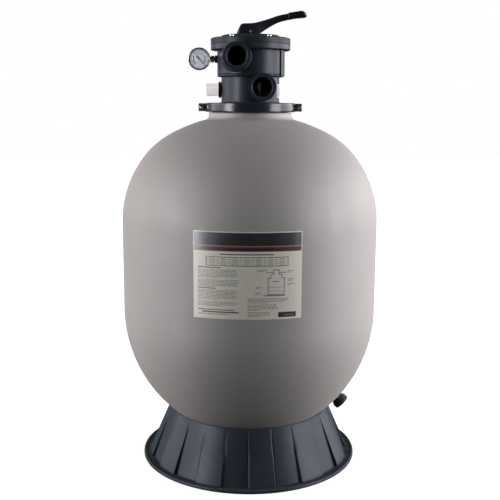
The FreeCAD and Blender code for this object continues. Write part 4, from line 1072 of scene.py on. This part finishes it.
# -------------------------------------------------------------------- stage
def studio():
    m, nt, b = new_mat("floor_paint")
    v = coords(nt)
    nt.links.new(ramp(nt, noise(nt, v, 1.3, 4.0, 0.5), [(0.3, (0.58, 0.58, 0.58)), (0.7, (0.62, 0.62, 0.62))]), b.inputs["Base Color"])
    b.inputs["Roughness"].default_value = 0.9
    b.inputs["Specular IOR Level"].default_value = 0.1
    b.inputs["Emission Color"].default_value = (1, 1, 1, 1)
    b.inputs["Emission Strength"].default_value = 0.80
    bm = bmesh.new()
    bmesh.ops.create_circle(bm, cap_ends=True, segments=96, radius=14.0)
    me = bpy.data.meshes.new("floor")
    bm.to_mesh(me)
    bm.free()
    me.materials.append(m)
    fl = bpy.data.objects.new("floor", me)
    fl.location = (0, 0, -0.0004)
    bpy.context.scene.collection.objects.link(fl)
    fl.visible_diffuse = False
    fl.visible_glossy = False
    # white backdrop dome, seen by the camera only
    bm = bmesh.new()
    bmesh.ops.create_uvsphere(bm, u_segments=48, v_segments=24, radius=13.0)
    bmesh.ops.reverse_faces(bm, faces=bm.faces)
    me = bpy.data.meshes.new("backdrop")
    bm.to_mesh(me)
    bm.free()
    bd_m = bpy.data.materials.new("backdrop_white")
    bd_m.use_nodes = True
    nt = bd_m.node_tree
    nt.nodes.clear()
    out = nt.nodes.new("ShaderNodeOutputMaterial")
    em = nt.nodes.new("ShaderNodeEmission")
    em.inputs["Color"].default_value = (1, 1, 1, 1)
    em.inputs["Strength"].default_value = 1.0
    nt.links.new(em.outputs[0], out.inputs["Surface"])
    me.materials.append(bd_m)
    bd = bpy.data.objects.new("backdrop", me)
    bpy.context.scene.collection.objects.link(bd)
    bd.visible_diffuse = False
    bd.visible_glossy = False
    bd.visible_transmission = True
    bd.visible_shadow = False
    # two upright strip lights nearer the front, which only shine in glossy surfaces
    for a0, a1, colour, power in ((-66, -46, (1.0, 0.985, 1.0), STRIP_L), (54, 82, (1.0, 0.985, 1.0), STRIP_R)):
        sm = bpy.data.materials.new("strip_light")
        sm.use_nodes = True
        nt = sm.node_tree
        nt.nodes.clear()
        out = nt.nodes.new("ShaderNodeOutputMaterial")
        em = nt.nodes.new("ShaderNodeEmission")
        em.inputs["Color"].default_value = (*colour, 1)
        em.inputs["Strength"].default_value = power
        nt.links.new(em.outputs[0], out.inputs["Surface"])
        verts, faces = [], []
        for i in range(13):
            a = math.radians(a0 + (a1 - a0) * i / 12)
            for z in (-0.9, 3.4):
                verts.append((5.0 * math.sin(a), -5.0 * math.cos(a), z))
        for i in range(12):
            faces.append((2 * i, 2 * i + 1, 2 * i + 3, 2 * i + 2))
        o = obj_from("strip", verts, faces, sm, False)
        o.visible_camera = o.visible_diffuse = o.visible_transmission = o.visible_shadow = False

    # surrounding soft light, written by direction: two broad tall panels left and
    # right, a dimmer room behind and in front, and little from the floor and zenith
    w = bpy.data.worlds.new("studio")
    bpy.context.scene.world = w
    w.use_nodes = True
    nt = w.node_tree
    nt.nodes.clear()
    out = nt.nodes.new("ShaderNodeOutputWorld")
    bg = nt.nodes.new("ShaderNodeBackground")
    nt.links.new(bg.outputs[0], out.inputs["Surface"])
    tc = nt.nodes.new("ShaderNodeTexCoord")
    sep = nt.nodes.new("ShaderNodeSeparateXYZ")
    nt.links.new(tc.outputs["Generated"], sep.inputs[0])
    neg = math_node(nt, "MULTIPLY", sep.outputs["Y"], -1.0)
    phi = math_node(nt, "ARCTAN2", sep.outputs["X"], neg)
    turn = math_node(nt, "ADD", math_node(nt, "MULTIPLY", phi, 1 / (2 * math.pi)), 0.5)
    K = 14.0

    def stops(pairs):
        return [(p, tuple(v / K for v in c)) for p, c in pairs]
    az = ramp(nt, turn, stops([((d + 180) / 360, c) for d, c in (
        (-180, BACK), (-120, BACK), (-114, LEFT), (-77, LEFT), (-60, SIDE),
        (0, FRONT), (62, SIDE), (79, RIGHT), (128, RIGHT), (138, BACK), (180, BACK))]))
    up = math_node(nt, "MULTIPLY_ADD", sep.outputs["Z"], 0.5)
    up.node.inputs[2].default_value = 0.5
    el = ramp(nt, up, [((z + 1) / 2, (v, v, v)) for z, v in ((-1.0, 0.01), (-0.10, 0.05), (0.0, 0.62), (0.06, 1.0), (0.24, 1.0), (0.36, 0.42), (0.50, 0.14), (0.66, 0.05), (1.0, 0.02))])
    c = mix_rgb(nt, 1.0, az, el, "MULTIPLY")
    nt.links.new(c, bg.inputs["Color"])
    bg.inputs["Strength"].default_value = K


LEFT, RIGHT, STRIP_L, STRIP_R = (10.4, 9.65, 9.7), (12.0, 11.25, 11.35), 30.0, 22.0
FRONT, SIDE, BACK = (0.11, 0.125, 0.115), (0.20, 0.21, 0.205), (0.9, 0.87, 0.88)
studio()

cam = bpy.data.cameras.new("camera")
cam.sensor_width = 36.0
cam.lens = 829.8 / 500 * 36.0
co = bpy.data.objects.new("camera", cam)
co.location = (0.0012, -2.0365, 0.8753)
co.rotation_euler = (Matrix.Rotation(math.radians(90 - 9.912), 3, "X") @ Matrix.Rotation(math.radians(0.29), 3, "Z")).to_euler()
bpy.context.scene.collection.objects.link(co)
bpy.context.scene.camera = co
bpy.context.scene.view_settings.view_transform = "Standard"
